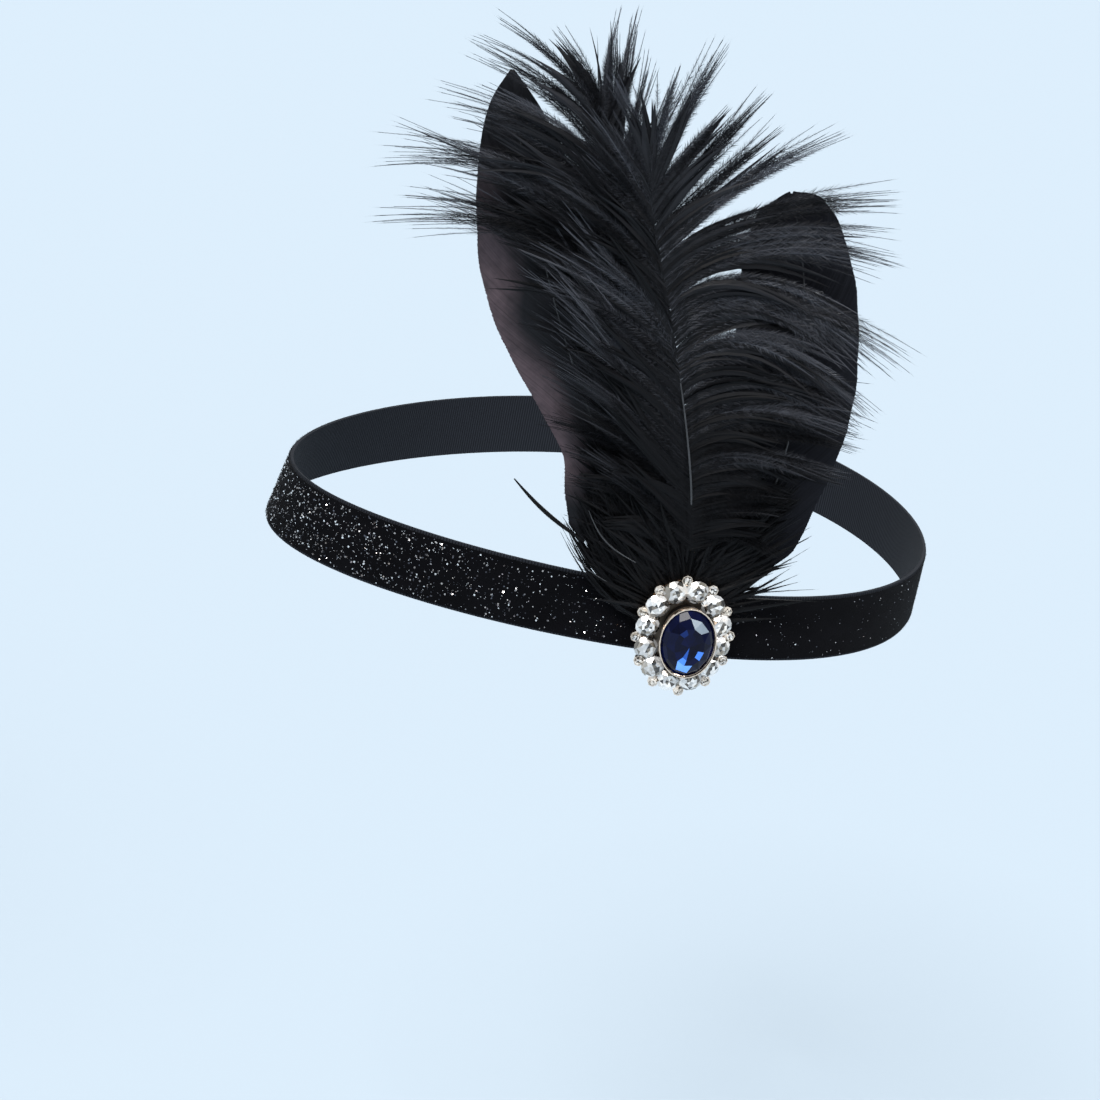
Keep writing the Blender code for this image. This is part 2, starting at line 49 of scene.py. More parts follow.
# The camera, as it stood for the photograph
CAMERA_AZIMUTH = math.radians(68.85)
CAMERA_ELEVATION = math.radians(21.69)
CAMERA_ROLL = math.radians(11.40)
CAMERA_DISTANCE = 0.750
CAMERA_LENS = 79.19
SENSOR_WIDTH = 36.0
AIM_RIGHT = -0.01582
AIM_UP = -0.01113

# The band: an egg-shaped loop, narrower at the forehead, whose wall leans in at its top edge
BAND_LENGTH = 0.2026
BAND_WIDTH = 0.1540
BAND_TAPER = 0.22
BAND_HEIGHT = 0.020
BAND_WALL = 0.0012
LOOP_STEPS = 288
LOOP_FINENESS = 10
FRONT_LEAN = math.radians(13.6)
BACK_LEAN = math.radians(1.0)
SELVEDGE = 0.0008
RIB_PITCH = 0.0009
FLAKE_COUNT = 4200
FLAKE_RADIUS = 0.00008
FLAKE_GROWTH = 0.00020
FLAKE_TILT = 0.42
FLAKE_STAND_OFF = 0.00016
FUZZ_COUNT = 9000
HAIR_LENGTHS = (0.00025, 0.00060)
HAIR_HALF_WIDTH = 0.00007
HAIR_SUNK = 0.00005

# The quills behind the brooch
CLEARANCE = 0.0003
QUILL_RADIUS = 0.0014
QUILL_PITCH = 0.0034
QUILL_TAIL = 0.008
QUILL_TOP = 0.004
QUILL_SEAT = CLEARANCE + QUILL_RADIUS

# The feathers. Lean, root and thins are shares of a barb's way, foot and top of a feather's height
PLUME_STAND_OFF = 0.0140
BARB_LENGTH = 0.0720
BARB_CORE = 0.00013
BARB_RINGS = 11
BARBULE_COUNT = 162
BARBULE_REACH = 0.0014
BARBULE_WIDTH = 0.00016
BARBULE_LEAN = 0.042
BARBULE_ROOT = 0.006
TURN_EASE = 1.8
BARB_EASE = 1.10
BARB_REACH = (0.72, 1.05)
LOCK_EASE = 1.50
LOCK_COUNT = 170
LOCK_REACH = (0.50, 0.80)
LOCK_HALF_WIDTH = 0.0010
LOCK_SUNK = -0.0012
# The locks' tones are scaled by this: painted shade under the barbs
LOCK_SHADE = 0.3
SHAFT_PROUD = 0.0007
SHAFT_SUNK = 0.0016
SHAFT_TOP = 0.985
DOWN_RINGS = 5
DOWN_BARBULES = 64
DOWN_REACH = 0.0016
DOWN_LEAN = 0.07
DOWN_HALF_WIDTH = 0.0007
DOWN_THINS = 0.5
DOWN_SEED = 101
VANE_CUP = 0.0035
VANE_BARB_WIDTH = 0.00080
VANE_FOOT = 0.080
VANE_TOP = 0.996
VANE_SLANT = 0.15
GOOSE_QUILL_TOP = 0.95

# How far the plumes' tufts differ from each other, and the barbs in one tuft: in degrees at the root
# and at the tip, in metres off the plume, and in tone
TUFT_PITCH = 0.028
TURNS = (3.0, 0.9)
CURLS = (9.0, 3.0)
LIFTS = (0.0026, 0.0006)
SHADES = (0.24, 0.32)
MIDDLE_SHADE = 0.46

# The brooch. Reach is counted in half sizes of the middle stone
BROOCH_TURN = math.radians(89.6)
BROOCH_ROLL = math.radians(7.5)
RING_REACH = 1.10
RING_EASE = 0.16
RING_DRAWN_ASIDE = 0.075
RING_DRAWN_BY = 0.0006
RING_DRAWN_UP = 0.02
TABLE_INSET = 0.22
# Share of small stones' facets whose painted reflection is a stray tone
STRAY_FACETS = 0.22

# For each kind of stone, its width as a share of its solid's, how far it stands proud, and its facets
STONE_KINDS = {"centre": (1.0, 0.0, 12), "halo": (1.20, 0.00045, 8), "accent": (1.22, 0.00035, 8)}

# Painted reflections of the foil in bands across a small stone: where each starts, its darkest and its
# lightest
PAINTED_REFLECTION_BANDS = ((0.26, 0.78, 1.0), (0.02, 0.0, 0.38), (-0.42, 0.55, 1.0), (-2.0, 0.18, 0.70))

# The stage
FLOOR_COLOUR = (0.428, 0.494, 0.552)
FLOOR_RADIUS = 30.0
FLOOR_LEVEL = -0.32
SKY_COLOUR = (0.84, 0.92, 1.0, 1.0)
SKY_STRENGTH = 0.36

# Each lamp's name, compass heading from +Y, elevation, strength, softness in degrees and colour
LAMPS = (
    ("key", 140, 50, 2.4, 24, (1.0, 0.985, 0.97)),
    ("side", 62, 36, 1.2, 24, (0.96, 0.98, 1.0)),
    ("rim", 300, 55, 2.4, 8, (0.95, 0.98, 1.0)),
)

BLACK = (0.0, 0.0, 0.0)
SIDES = ((-1, "left"), (1, "right"))
UPRIGHT = np.array([0.0, 0.0, 1.0])


# Shaders

class Wire:
    """A shader's socket. Arithmetic on it adds Math nodes, and node adds any other."""

    def __init__(self, tree, socket=None):
        self.tree = tree
        self.socket = socket

    def node(self, kind, settings=None, inputs=None, output=0):
        made = self.tree.nodes.new(kind)
        for name, value in (settings or {}).items():
            if name == "stops":
                ramp = made.color_ramp.elements
                while len(ramp) < len(value):
                    ramp.new(1.0)
                for stop, (place, colour) in zip(ramp, value):
                    stop.position = place
                    stop.color = (*colour, 1.0)
            else:
                setattr(made, name, value)
        for name, value in (inputs or {}).items():
            if isinstance(value, Wire):
                self.tree.links.new(value.socket, made.inputs[name])
            else:
                made.inputs[name].default_value = value
        return Wire(self.tree, made.outputs[output])

    def maths(self, operation, *values):
        return self.node("ShaderNodeMath", {"operation": operation}, dict(enumerate(values)))

    def __add__(self, other):
        return self.maths("ADD", self, other)

    __radd__ = __add__

    def __mul__(self, other):
        return self.maths("MULTIPLY", self, other)

    __rmul__ = __mul__

    def __sub__(self, other):
        return self.maths("SUBTRACT", self, other)

    def __rsub__(self, other):
        return self.maths("SUBTRACT", other, self)

    def clamp(self):
        return self.node("ShaderNodeClamp", None, {"Value": self})

    def attribute(self, name):
        return self.node("ShaderNodeAttribute", {"attribute_name": name}, None, "Fac")

    def place(self):
        return self.node("ShaderNodeTexCoord", None, None, "Object")

    def along(self, direction):
        """How far the shaded place lies along a direction."""
        values = {0: self.place(), 1: [float(part) for part in direction]}
        return self.node("ShaderNodeVectorMath", {"operation": "DOT_PRODUCT"}, values, "Value")

    def noise(self, scale, detail=2.0, stretch=None):
        vector = self.place()
        if stretch:
            vector = self.node("ShaderNodeMapping", None, {"Vector": vector, "Scale": stretch})
        return self.node("ShaderNodeTexNoise", None, {"Vector": vector, "Scale": scale, "Detail": detail})

    def blend(self, share, first, second):
        """A colour between two, each a wire or a red, green and blue."""
        ends = [end if isinstance(end, Wire) else (*end, 1.0) for end in (first, second)]
        return self.node("ShaderNodeMix", {"data_type": "RGBA"}, {0: share, 6: ends[0], 7: ends[1]}, 2)

    def ramp(self, share, stops):
        return self.node("ShaderNodeValToRGB", {"stops": stops}, {"Fac": share})

    def bump(self, height, strength, distance):
        return self.node(
            "ShaderNodeBump", None, {"Height": height, "Strength": strength, "Distance": distance}
        )


def new_finish(name):
    """A material, and a wire to draw its pattern from."""
    material = bpy.data.materials.new(name)
    material.use_nodes = True
    return material, Wire(material.node_tree)


def feed(material, **values):
    """Sets or links the sockets of the material's shader, whose names are given with _ for a space."""
    for name, value in values.items():
        socket = material.node_tree.nodes["Principled BSDF"].inputs[name.replace("_", " ")]
        if isinstance(value, Wire):
            value.tree.links.new(value.socket, socket)
        elif isinstance(value, tuple):
            socket.default_value = (*value, 1.0)
        else:
            socket.default_value = value
    return material


def ostrich_finish():
    material, draw = new_finish("ostrich_barbs")
    tone = draw.attribute("tone")
    way = draw.attribute("way")
    # Painted shade and light: the barbs darken low down, towards the plumes' foot, and pale at the crown
    high = ((draw.along(UPRIGHT) - 0.034) * 17.0).clamp()
    crown = ((draw.along(UPRIGHT) - 0.11) * 22.0).clamp()
    # The pale end of this blend is painted highlight, strongest on barbs of high tone and higher up
    lit = (tone * tone * (0.08 + 0.92 * high) + crown * 0.16).clamp()
    toned = draw.blend(lit, (0.001, 0.001, 0.0018), (0.07, 0.073, 0.086))
    # Painted sheen: bright barbs pale further towards their tips
    with_painted_sheen = draw.blend(way * tone * tone * high * 0.8, toned, (0.1, 0.105, 0.124))
    rough = 0.78 - 0.22 * high - 0.22 * tone
    return feed(material, Base_Color=with_painted_sheen, Roughness=rough, Specular_IOR_Level=0.17)


def down_finish():
    material, draw = new_finish("feather_down")
    tone = draw.attribute("tone")
    colour = draw.blend(tone * tone, (0.0016, 0.0016, 0.0022), (0.012, 0.013, 0.016))
    return feed(material, Base_Color=colour, Roughness=0.62 - 0.2 * tone, Specular_IOR_Level=0.15)


def goose_finish(name, painted_edge_light, painted_edge_weight, starts, shine):
    """Dyed vane, paler where it thins towards its edge: painted sheen, and painted light shining through
    it.
    """
    material, draw = new_finish(name)
    tone = draw.attribute("tone")
    way = draw.attribute("way")
    cloud = draw.noise(46.0)
    mottle = draw.noise(300.0, 4.0)
    # Painted edge light: paler towards the vane's edge, only between two heights, clouded and mottled
    high = ((draw.along(UPRIGHT) - 0.03) * 80.0).clamp()
    low = ((0.128 - draw.along(UPRIGHT)) * 40.0).clamp()
    edge = ((way - starts) * 1.7 + (cloud - 0.5) * 1.6).clamp() * high * low
    toned = draw.blend(tone, (0.0036, 0.0038, 0.0054), (0.0095, 0.0098, 0.013))
    colour = draw.blend(edge * painted_edge_weight * (0.3 + 1.1 * mottle) * (0.75 + 0.5 * tone), toned, painted_edge_light)
    grain = draw.noise(2600.0)
    return feed(
        material, Base_Color=colour, Roughness=0.38 + 0.16 * mottle, Specular_IOR_Level=shine,
        Sheen_Weight=0.06, Sheen_Roughness=0.35, Normal=draw.bump(grain, 0.25, 0.0001),
    )


def shaft_finish():
    material, draw = new_finish("feather_shaft")
    streak = draw.noise(1.0, stretch=(900.0, 900.0, 60.0))
    colour = draw.blend(streak, (0.01, 0.01, 0.011), (0.055, 0.056, 0.06))
    bumps = draw.bump(streak, 0.2, 0.0001)
    return feed(material, Base_Color=colour, Roughness=0.2 + 0.12 * streak, Normal=bumps)


def velvet_finish():
    """Pile outside, and ribbed elastic on the selvedge at both edges and inside."""
    material, draw = new_finish("glitter_velvet")
    pile = draw.attribute("pile")
    nap = draw.noise(3800.0, 3.0)
    brushed = draw.noise(1.0, stretch=(60.0, 60.0, 160.0))
    along = draw.attribute("along")
    rib = draw.maths("SINE", along * (2 * math.pi / RIB_PITCH)) * 0.5 + 0.5
    velvet = draw.blend(brushed * nap, (0.0008, 0.0008, 0.0013), (0.007, 0.0068, 0.009))
    elastic = draw.blend(rib, (0.009, 0.01, 0.013), (0.026, 0.029, 0.036))
    colour = draw.blend(pile, elastic, velvet)
    height = nap * pile + rib * (1 - pile)
    return feed(
        material, Base_Color=colour, Roughness=0.72 + 0.25 * pile, Specular_IOR_Level=0.05,
        Sheen_Weight=0.03, Sheen_Roughness=0.5, Normal=draw.bump(height, 0.5, 0.0002),
    )


def fuzz_finish():
    """The pile's own hairs, which show along the band's outline."""
    material, draw = new_finish("velvet_fuzz")
    tone = draw.attribute("tone")
    colour = draw.blend(tone, (0.0008, 0.0008, 0.0012), (0.0065, 0.0062, 0.0085))
    return feed(material, Base_Color=colour, Roughness=0.9, Specular_IOR_Level=0.05)


def flake_finish():
    material, draw = new_finish("glitter_flake")
    tone = draw.attribute("tone")
    # Painted glints: a flake's tone picks how bright it looks, from near black to white
    colour = draw.ramp(tone, (
        (0.0, (0.03, 0.03, 0.035)), (0.45, (0.14, 0.14, 0.16)), (0.72, (0.55, 0.5, 0.47)),
        (0.82, (0.9, 0.88, 0.86)), (1.0, (1.0, 1.0, 1.0)),
    ))
    return feed(material, Base_Color=colour, Roughness=0.34 - 0.14 * tone, Metallic=1.0)


def gold_finish():
    """Polished rose gold, painted shade down between the middle stone's rim and the ring of small stones.
    """
    material, draw = new_finish("rose_gold")
    wear = draw.noise(420.0, 3.0)
    pits = draw.noise(2400.0)
    axes = brooch_axes()
    middle, half = node_span("centre_stone", axes)
    aside = (draw.along(axes[0]) - float(middle @ axes[0])) * float(1 / half[0])
    ahead = (draw.along(axes[1]) - float(middle @ axes[1])) * float(1 / half[1])
    whole, whole_half = node_span("brooch_setting", axes)
    low = float(whole @ axes[2] - whole_half[2])
    rise = (draw.along(axes[2]) - low) * float(0.5 / whole_half[2])
    # Painted shade: dark down the wall between the middle stone's rim and the ring of small stones
    near = ((1.62 - (aside * aside + ahead * ahead)) * 5.0).clamp()
    sunk = near * ((0.72 - rise) * 14.0).clamp() * ((rise - 0.08) * 14.0).clamp()
    polished = draw.blend(wear, (0.78, 0.58, 0.43), (0.97, 0.82, 0.68))
    colour = draw.blend(sunk, polished, (0.016, 0.013, 0.012))
    return feed(
        material, Base_Color=colour, Roughness=0.14 + 0.4 * sunk + 0.14 * wear, Metallic=1.0,
        Normal=draw.bump(pits, 0.12, 0.00008),
    )


def clear_finish(name, warmth):
    """Clear cut glass on foil: each facet has its own tone of painted reflection, under one clear
    polish, and here and there a painted reflection of the gold of its cup."""
    material, draw = new_finish(name)
    tone = draw.attribute("tone")
    painted_reflection_noise = draw.noise(700.0) * 0.16 - 0.08
    # Painted reflections, from dark to near white, picked by each facet's tone
    stops = (
        (0.0, (0.012, 0.012, 0.012)), (0.22, (0.11, 0.095, 0.078)), (0.45, (0.36, 0.32, 0.26)),
        (0.7, (0.6, 0.6, 0.6)), (1.0, (0.94, 0.92, 0.89)),
    )
    # Painted reflection of the gold cup: the same tones tinted gold, shown where the warm noise is high
    golden = [(stop, (shade[0], shade[1] * 0.84, shade[2] * 0.64)) for stop, shade in stops]
    shade = (tone + painted_reflection_noise).clamp()
    warm = ((draw.noise(300.0) - 0.6 + warmth) * 3.0).clamp()
    colour = draw.blend(warm * 0.8, draw.ramp(shade, stops), draw.ramp(shade, golden))
    # Painted glow: the brightest facets shine as though lit from within
    glow = draw.ramp(tone, ((0.0, BLACK), (0.84, BLACK), (1.0, (0.16, 0.16, 0.16))))
    return feed(
        material, Base_Color=colour, Roughness=0.05 + 0.05 * tone, Metallic=0.35, Emission_Color=glow,
        Emission_Strength=1.0, Coat_Weight=1.0, Coat_Roughness=0.02, IOR=1.55,
    )


def sapphire_finish():
    """Deep blue cut glass: dark facets, and a few with painted flashes of light, some with a painted
    glow.
    """
    material, draw = new_finish("sapphire_glass")
    tone = draw.attribute("tone")
    painted_reflection_noise = draw.noise(420.0) * 0.1 - 0.05
    shade = (tone + painted_reflection_noise * (1 - tone)).clamp()
    # Painted flashes: dark navy facets up to bright blue, and a pale grey painted reflection at the top
    colour = draw.ramp(shade, (
        (0.0, (0.0012, 0.0014, 0.007)), (0.2, (0.003, 0.006, 0.042)), (0.5, (0.016, 0.07, 0.36)),
        (0.75, (0.075, 0.24, 0.78)), (0.9, (0.2, 0.42, 0.92)), (1.0, (0.26, 0.31, 0.36)),
    ))
    # Painted glow on the flashing facets
    glow = draw.ramp(tone, ((0.0, BLACK), (0.45, BLACK), (0.88, (0.04, 0.13, 0.46)), (0.95, BLACK)))
    return feed(
        material, Base_Color=colour, Roughness=0.07 + 0.04 * tone, Specular_IOR_Level=0.1,
        Emission_Color=glow, Emission_Strength=1.0, Coat_Weight=0.14, Coat_Roughness=0.02,
    )


# Making pieces

def add_object(name, data):
    thing = bpy.data.objects.new(name, data)
    bpy.context.collection.objects.link(thing)
    return thing


def add_piece(name, mesh, material, nodes=()):
    """Puts a finished mesh on the one body, in place of the nodes that it stands for."""
    mesh.name = name
    mesh.materials.clear()
    mesh.materials.append(material)
    thing = add_object(name, mesh)
    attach(thing, "root")
    if nodes:
        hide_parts(*nodes)
    return thing


def mesh_from(bm):
    mesh = bpy.data.meshes.new("mesh")
    bm.to_mesh(mesh)
    bm.free()
    return mesh


def settled(thing):
    """A linked object's mesh with its modifiers or its bevel applied. The object goes."""
    graph = bpy.context.evaluated_depsgraph_get()
    mesh = bpy.data.meshes.new_from_object(thing.evaluated_get(graph))
    bpy.data.objects.remove(thing, do_unlink=True)
    return mesh


def places_of(mesh):
    flat = np.empty(len(mesh.vertices) * 3)
    mesh.vertices.foreach_get("co", flat)
    return flat.reshape(-1, 3)


def put_places(mesh, places):
    mesh.vertices.foreach_set("co", places.ravel())


def copies(template, count):
    """One mesh of many copies of a template, and the template's places as a row for each copy."""
    thing = add_object("copies", template)
    array = thing.modifiers.new("array", "ARRAY")
    array.count = count
    array.use_relative_offset = False
    array.use_constant_offset = True
    array.constant_offset_displace = (0, 0, 0)
    mesh = settled(thing)
    return mesh, places_of(mesh).reshape(count, -1, 3)


def set_attribute(mesh, name, values):
    layer = mesh.attributes.new(name, "FLOAT", "POINT")
    layer.data.foreach_set("value", np.ascontiguousarray(values, dtype=np.float32).ravel())


def unit(vectors):
    return vectors / np.maximum(np.linalg.norm(vectors, axis=-1, keepdims=True), 1e-12)


def climb(values, start, span):
    """0 up to the start, and evenly from there to 1 over the span."""
    return np.clip((values - start) / span, 0, 1)


def smooth(rows, column, shares):
    """A column of a table at any shares of its way, on a smooth curve through the rows."""
    table = np.array(rows, dtype=float)
    ways, values = table[:, 0], table[:, column]
    slopes = np.gradient(values, ways)
    at = np.clip(np.searchsorted(ways, shares) - 1, 0, len(ways) - 2)
    span = ways[at + 1] - ways[at]
    part = np.clip((shares - ways[at]) / span, 0, 1)
    return (
        values[at] * (1 + 2 * part) * (1 - part) ** 2
        + values[at + 1] * part * part * (3 - 2 * part)
        + span * slopes[at] * part * (1 - part) ** 2
        + span * slopes[at + 1] * part * part * (part - 1)
    )


# The band's line

def band_middle(turn):
    """The wall's middle line at mid height, along the loop and out of it."""
    side = BAND_WIDTH / 2
    reach = BAND_LENGTH / 2
    level = np.zeros_like(turn)
    x = side * np.sin(turn) * (1 - BAND_TAPER * np.cos(turn))
    place = np.stack([x, -reach * np.cos(turn), level], axis=-1)
    ahead = side * (np.cos(turn) - BAND_TAPER * np.cos(2 * turn))
    along = unit(np.stack([ahead, reach * np.sin(turn), level], axis=-1))
    out = np.stack([along[..., 1], -along[..., 0], level], axis=-1)
    return place, along, out


def band_lean(turn):
    ahead = np.cos(turn)
    return np.where(ahead > 0, FRONT_LEAN, BACK_LEAN) * ahead * ahead


def band_wall(turns):
    """The wall's middle line, along the loop and out of it, and its own out and up as it leans."""
    middle, along, out = band_middle(turns)
    lean = band_lean(turns)
    tilt_out = out * np.cos(lean)[:, None] + UPRIGHT * np.sin(lean)[:, None]
    tilt_up = UPRIGHT * np.cos(lean)[:, None] - out * np.sin(lean)[:, None]
    return middle, along, out, tilt_out, tilt_up


seat_middle, seat_along, seat_out = band_middle(BROOCH_TURN)
SEAT_PLACE = seat_middle + seat_out * BAND_WALL / 2
SEAT_AXES = np.stack([seat_along, UPRIGHT, seat_out])


def to_world(places):
    """From the seat's sideways, up and out to the frame's X, Y and Z."""
    return SEAT_PLACE + places @ SEAT_AXES


# Strands

def bend_strands(template, line, tones, twists, taper):
    """Many copies of a template, each bent along its own line and tapered along its way.

    A template's X and Z are metres aside and ahead of the line, its Y the share of the line's way.
    """
    mesh, shapes = copies(template, len(tones))
    aside, way, ahead = shapes[..., 0], shapes[..., 1], shapes[..., 2]
    step = 0.01
    middle = line(way)
    heading = unit(line(way + step) - line(way - step))
    across = unit(np.cross(heading, UPRIGHT))
    front = np.cross(across, heading)
    turned = across * np.cos(twists)[:, None, None] + front * np.sin(twists)[:, None, None]
    faced = np.cross(turned, heading)
    size = taper(np.clip(way, 0, 1))
    places = middle + turned * (aside * size)[..., None] + faced * (ahead * size)[..., None]
    put_places(mesh, to_world(places.reshape(-1, 3)))
    set_attribute(mesh, "way", way)
    set_attribute(mesh, "tone", np.repeat(tones, shapes.shape[1]))
    return mesh


def barb_template(rings, barbules, reach, lean, taper, seed):
    """A three-sided barb with its barbules: X and Z in metres, Y from 0 at its root to 1.

    The core is drawn wider by what the taper takes from it, so that its tip stays a fine line.
    """
    luck = np.random.default_rng(seed)
    bm = bmesh.new()
    bmesh.ops.create_cone(
        bm, cap_ends=True, segments=3, radius1=BARB_CORE, radius2=BARB_CORE, depth=1.0,
        matrix=Matrix.Translation((0, 0.5, 0)) @ Matrix.Rotation(-math.pi / 2, 4, "X"),
    )
    long_edges = [edge for edge in bm.edges if edge.calc_length() > 0.5]
    bmesh.ops.subdivide_edges(bm, edges=long_edges, cuts=rings, use_grid_fill=True)
    for vert in bm.verts:
        fine = (1 - 0.55 * vert.co.y) / taper(vert.co.y)
        vert.co.x *= fine
        vert.co.z *= fine
    for side in (-1, 1):
        for k in range(barbules):
            way = (k + luck.uniform(0.1, 0.9)) / barbules
            length = reach * luck.uniform(0.6, 1.2)
            tilt = luck.uniform(-0.6, 0.6)
            corners = bmesh.ops.create_circle(bm, cap_ends=True, segments=3, radius=1)["verts"]
            corners[0].co = (0, way, 0)
            thick = BARBULE_WIDTH * luck.uniform(-1, 1)
            corners[1].co = (side * BARBULE_WIDTH * 0.4, way + BARBULE_ROOT, thick)
            corners[2].co = (side * length, way + lean * luck.uniform(0.7, 1.4), length * tilt)
    return mesh_from(bm)


def strip_template(segments, half_width):
    """A narrow ridged strip of vane: X and Z in metres, Y from 0 at its root to 1."""
    bm = bmesh.new()
    bmesh.ops.create_grid(bm, x_segments=2, y_segments=segments, size=0.5)
    for vert in bm.verts:
        ridge = 1 - abs(vert.co.x) * 2
        vert.co = (vert.co.x * 2 * half_width, vert.co.y + 0.5, ridge * half_width * 0.35)
    return mesh_from(bm)


def swept(start, end, way):
    """How far sideways and up a strand of length 1 gets by a way, as its heading eases from start
    to end. Most of the turn comes early."""
    spots, shares = np.polynomial.legendre.leggauss(4)
    aside, ahead = 0, 0
    for spot, share in zip((spots + 1) / 2, shares / 2):
        left = np.clip(1 - way * spot, 0, 1)
        heading = start + (end - start) * (1 - left ** TURN_EASE)
        aside = aside + share * np.sin(heading)
        ahead = ahead + share * np.cos(heading)
    return aside * way, ahead * way


def shaft_mesh(places, radii):
    """A round tapered shaft through places in the seat's directions."""
    curve = bpy.data.curves.new("shaft", "CURVE")
    curve.dimensions = "3D"
    curve.bevel_depth = 1.0
    curve.bevel_resolution = 2
    curve.use_fill_caps = True
    spline = curve.splines.new("POLY")
    spline.points.add(len(places) - 1)
    for point, place, radius in zip(spline.points, to_world(places), radii):
        point.co = (*place, 1.0)
        point.radius = radius
    return settled(add_object("shaft", curve))


# The ostrich plumes

def slot_ends(feather):
    """Share of height and of sweep at both ends of the straight quill in its slot."""
    across = feather.slot * QUILL_PITCH / feather.sweep
    return [(-QUILL_TAIL / feather.height, across), (QUILL_TOP / feather.height, across)]


def quill_radii(shares, foot, straight, ease, slimming):
    """A quill of one width up to the straight part's end, then slimmer, and finer towards its tip."""
    slim = climb(shares, straight, ease)
    return QUILL_RADIUS * (foot - slimming * slim) * (1 - 0.75 * np.clip(shares, 0, 1))


# Counts are of barbs, and thins is the share of a barb's way at which it starts to thin out, both left
# and right. Shaft rows: share of height, sweep and stand-off. Barb rows: share of height; then for
# each side the barbs' length as a share of the longest, and their heading in degrees from straight up
# at the root and at the tip, left and then right.
Plume = namedtuple("Plume", "name node slot height sweep lift counts thins seed shaft barbs")
FRONT_PLUME = Plume(
    name="front_plume", node="ostrich_plume_front", slot=0.5, height=0.1300, sweep=-0.0385,
    lift=0.0035, counts=(310, 390), thins=(0.50, 0.70), seed=21,
    shaft=(
        (0.108, 0.015, 0.000), (0.165, 0.070, 0.190), (0.230, 0.125, 0.420),
        (0.340, 0.225, 0.640), (0.545, 0.445, 0.800), (0.680, 0.610, 0.860),
        (0.790, 0.755, 0.900), (0.893, 0.895, 0.940), (1.000, 1.000, 1.000),
    ),
    barbs=(
        (0.188, 0.50, -50, -54, 0.36, 60, 84),
        (0.242, 0.60, -48, -54, 0.44, 54, 86),
        (0.305, 0.69, -47, -55, 0.54, 48, 88),
        (0.375, 0.76, -46, -57, 0.64, 42, 92),
        (0.445, 0.80, -45, -60, 0.71, 38, 98),
        (0.515, 0.81, -45, -62, 0.79, 35, 104),
        (0.585, 0.79, -46, -65, 0.88, 32, 110),
        (0.655, 0.75, -45, -66, 0.96, 29, 114),
        (0.725, 0.69, -44, -65, 1.00, 26, 103),
        (0.795, 0.62, -42, -62, 0.97, 31, 76),
        (0.860, 0.55, -38, -58, 0.70, 30, 42),
        (0.920, 0.49, -30, -50, 0.61, 19, 24),
        (0.970, 0.44, -20, -40, 0.55, 8, 13),
        (1.000, 0.40, -12, -24, 0.44, -4, -6),
    ),
)
BACK_PLUME = Plume(
    name="back_plume", node="ostrich_plume_back", slot=-0.5, height=0.1400, sweep=-0.0525,
    lift=0.0, counts=(320, 280), thins=(0.42, 0.40), seed=41,
    shaft=(
        (0.105, 0.085, 0.000), (0.150, 0.140, 0.160), (0.250, 0.255, 0.235),
        (0.400, 0.400, 0.290), (0.570, 0.565, 0.340), (0.735, 0.735, 0.400),
        (0.865, 0.875, 0.450), (1.000, 1.000, 0.520),
    ),
    barbs=(
        (0.172, 0.36, -60, -84, 0.10, 30, 40),
        (0.222, 0.42, -54, -76, 0.16, 20, 30),
        (0.285, 0.50, -48, -70, 0.20, 16, 26),
        (0.360, 0.58, -46, -66, 0.24, 12, 24),
        (0.435, 0.65, -45, -62, 0.28, 10, 22),
        (0.510, 0.72, -45, -60, 0.31, 10, 20),
        (0.585, 0.82, -45, -66, 0.34, 12, 20),
        (0.655, 0.94, -44, -78, 0.40, 16, 22),
        (0.725, 1.00, -43, -88, 0.46, 16, 19),
        (0.795, 0.93, -40, -86, 0.50, 16, 14),
        (0.860, 0.78, -34, -80, 0.54, 14, 6),
        (0.920, 0.67, -24, -72, 0.56, 12, 0),
        (0.970, 0.54, -14, -56, 0.46, 8, -4),
        (1.000, 0.41, -4, -16, 0.40, 4, -12),
    ),
)


def on_shaft(plume, share):
    rows = [(*end, 0) for end in slot_ends(plume)] + list(plume.shaft)
    stand_off = QUILL_SEAT + smooth(rows, 2, share) * PLUME_STAND_OFF
    return np.stack([smooth(rows, 1, share) * plume.sweep, share * plume.height, stand_off], axis=-1)


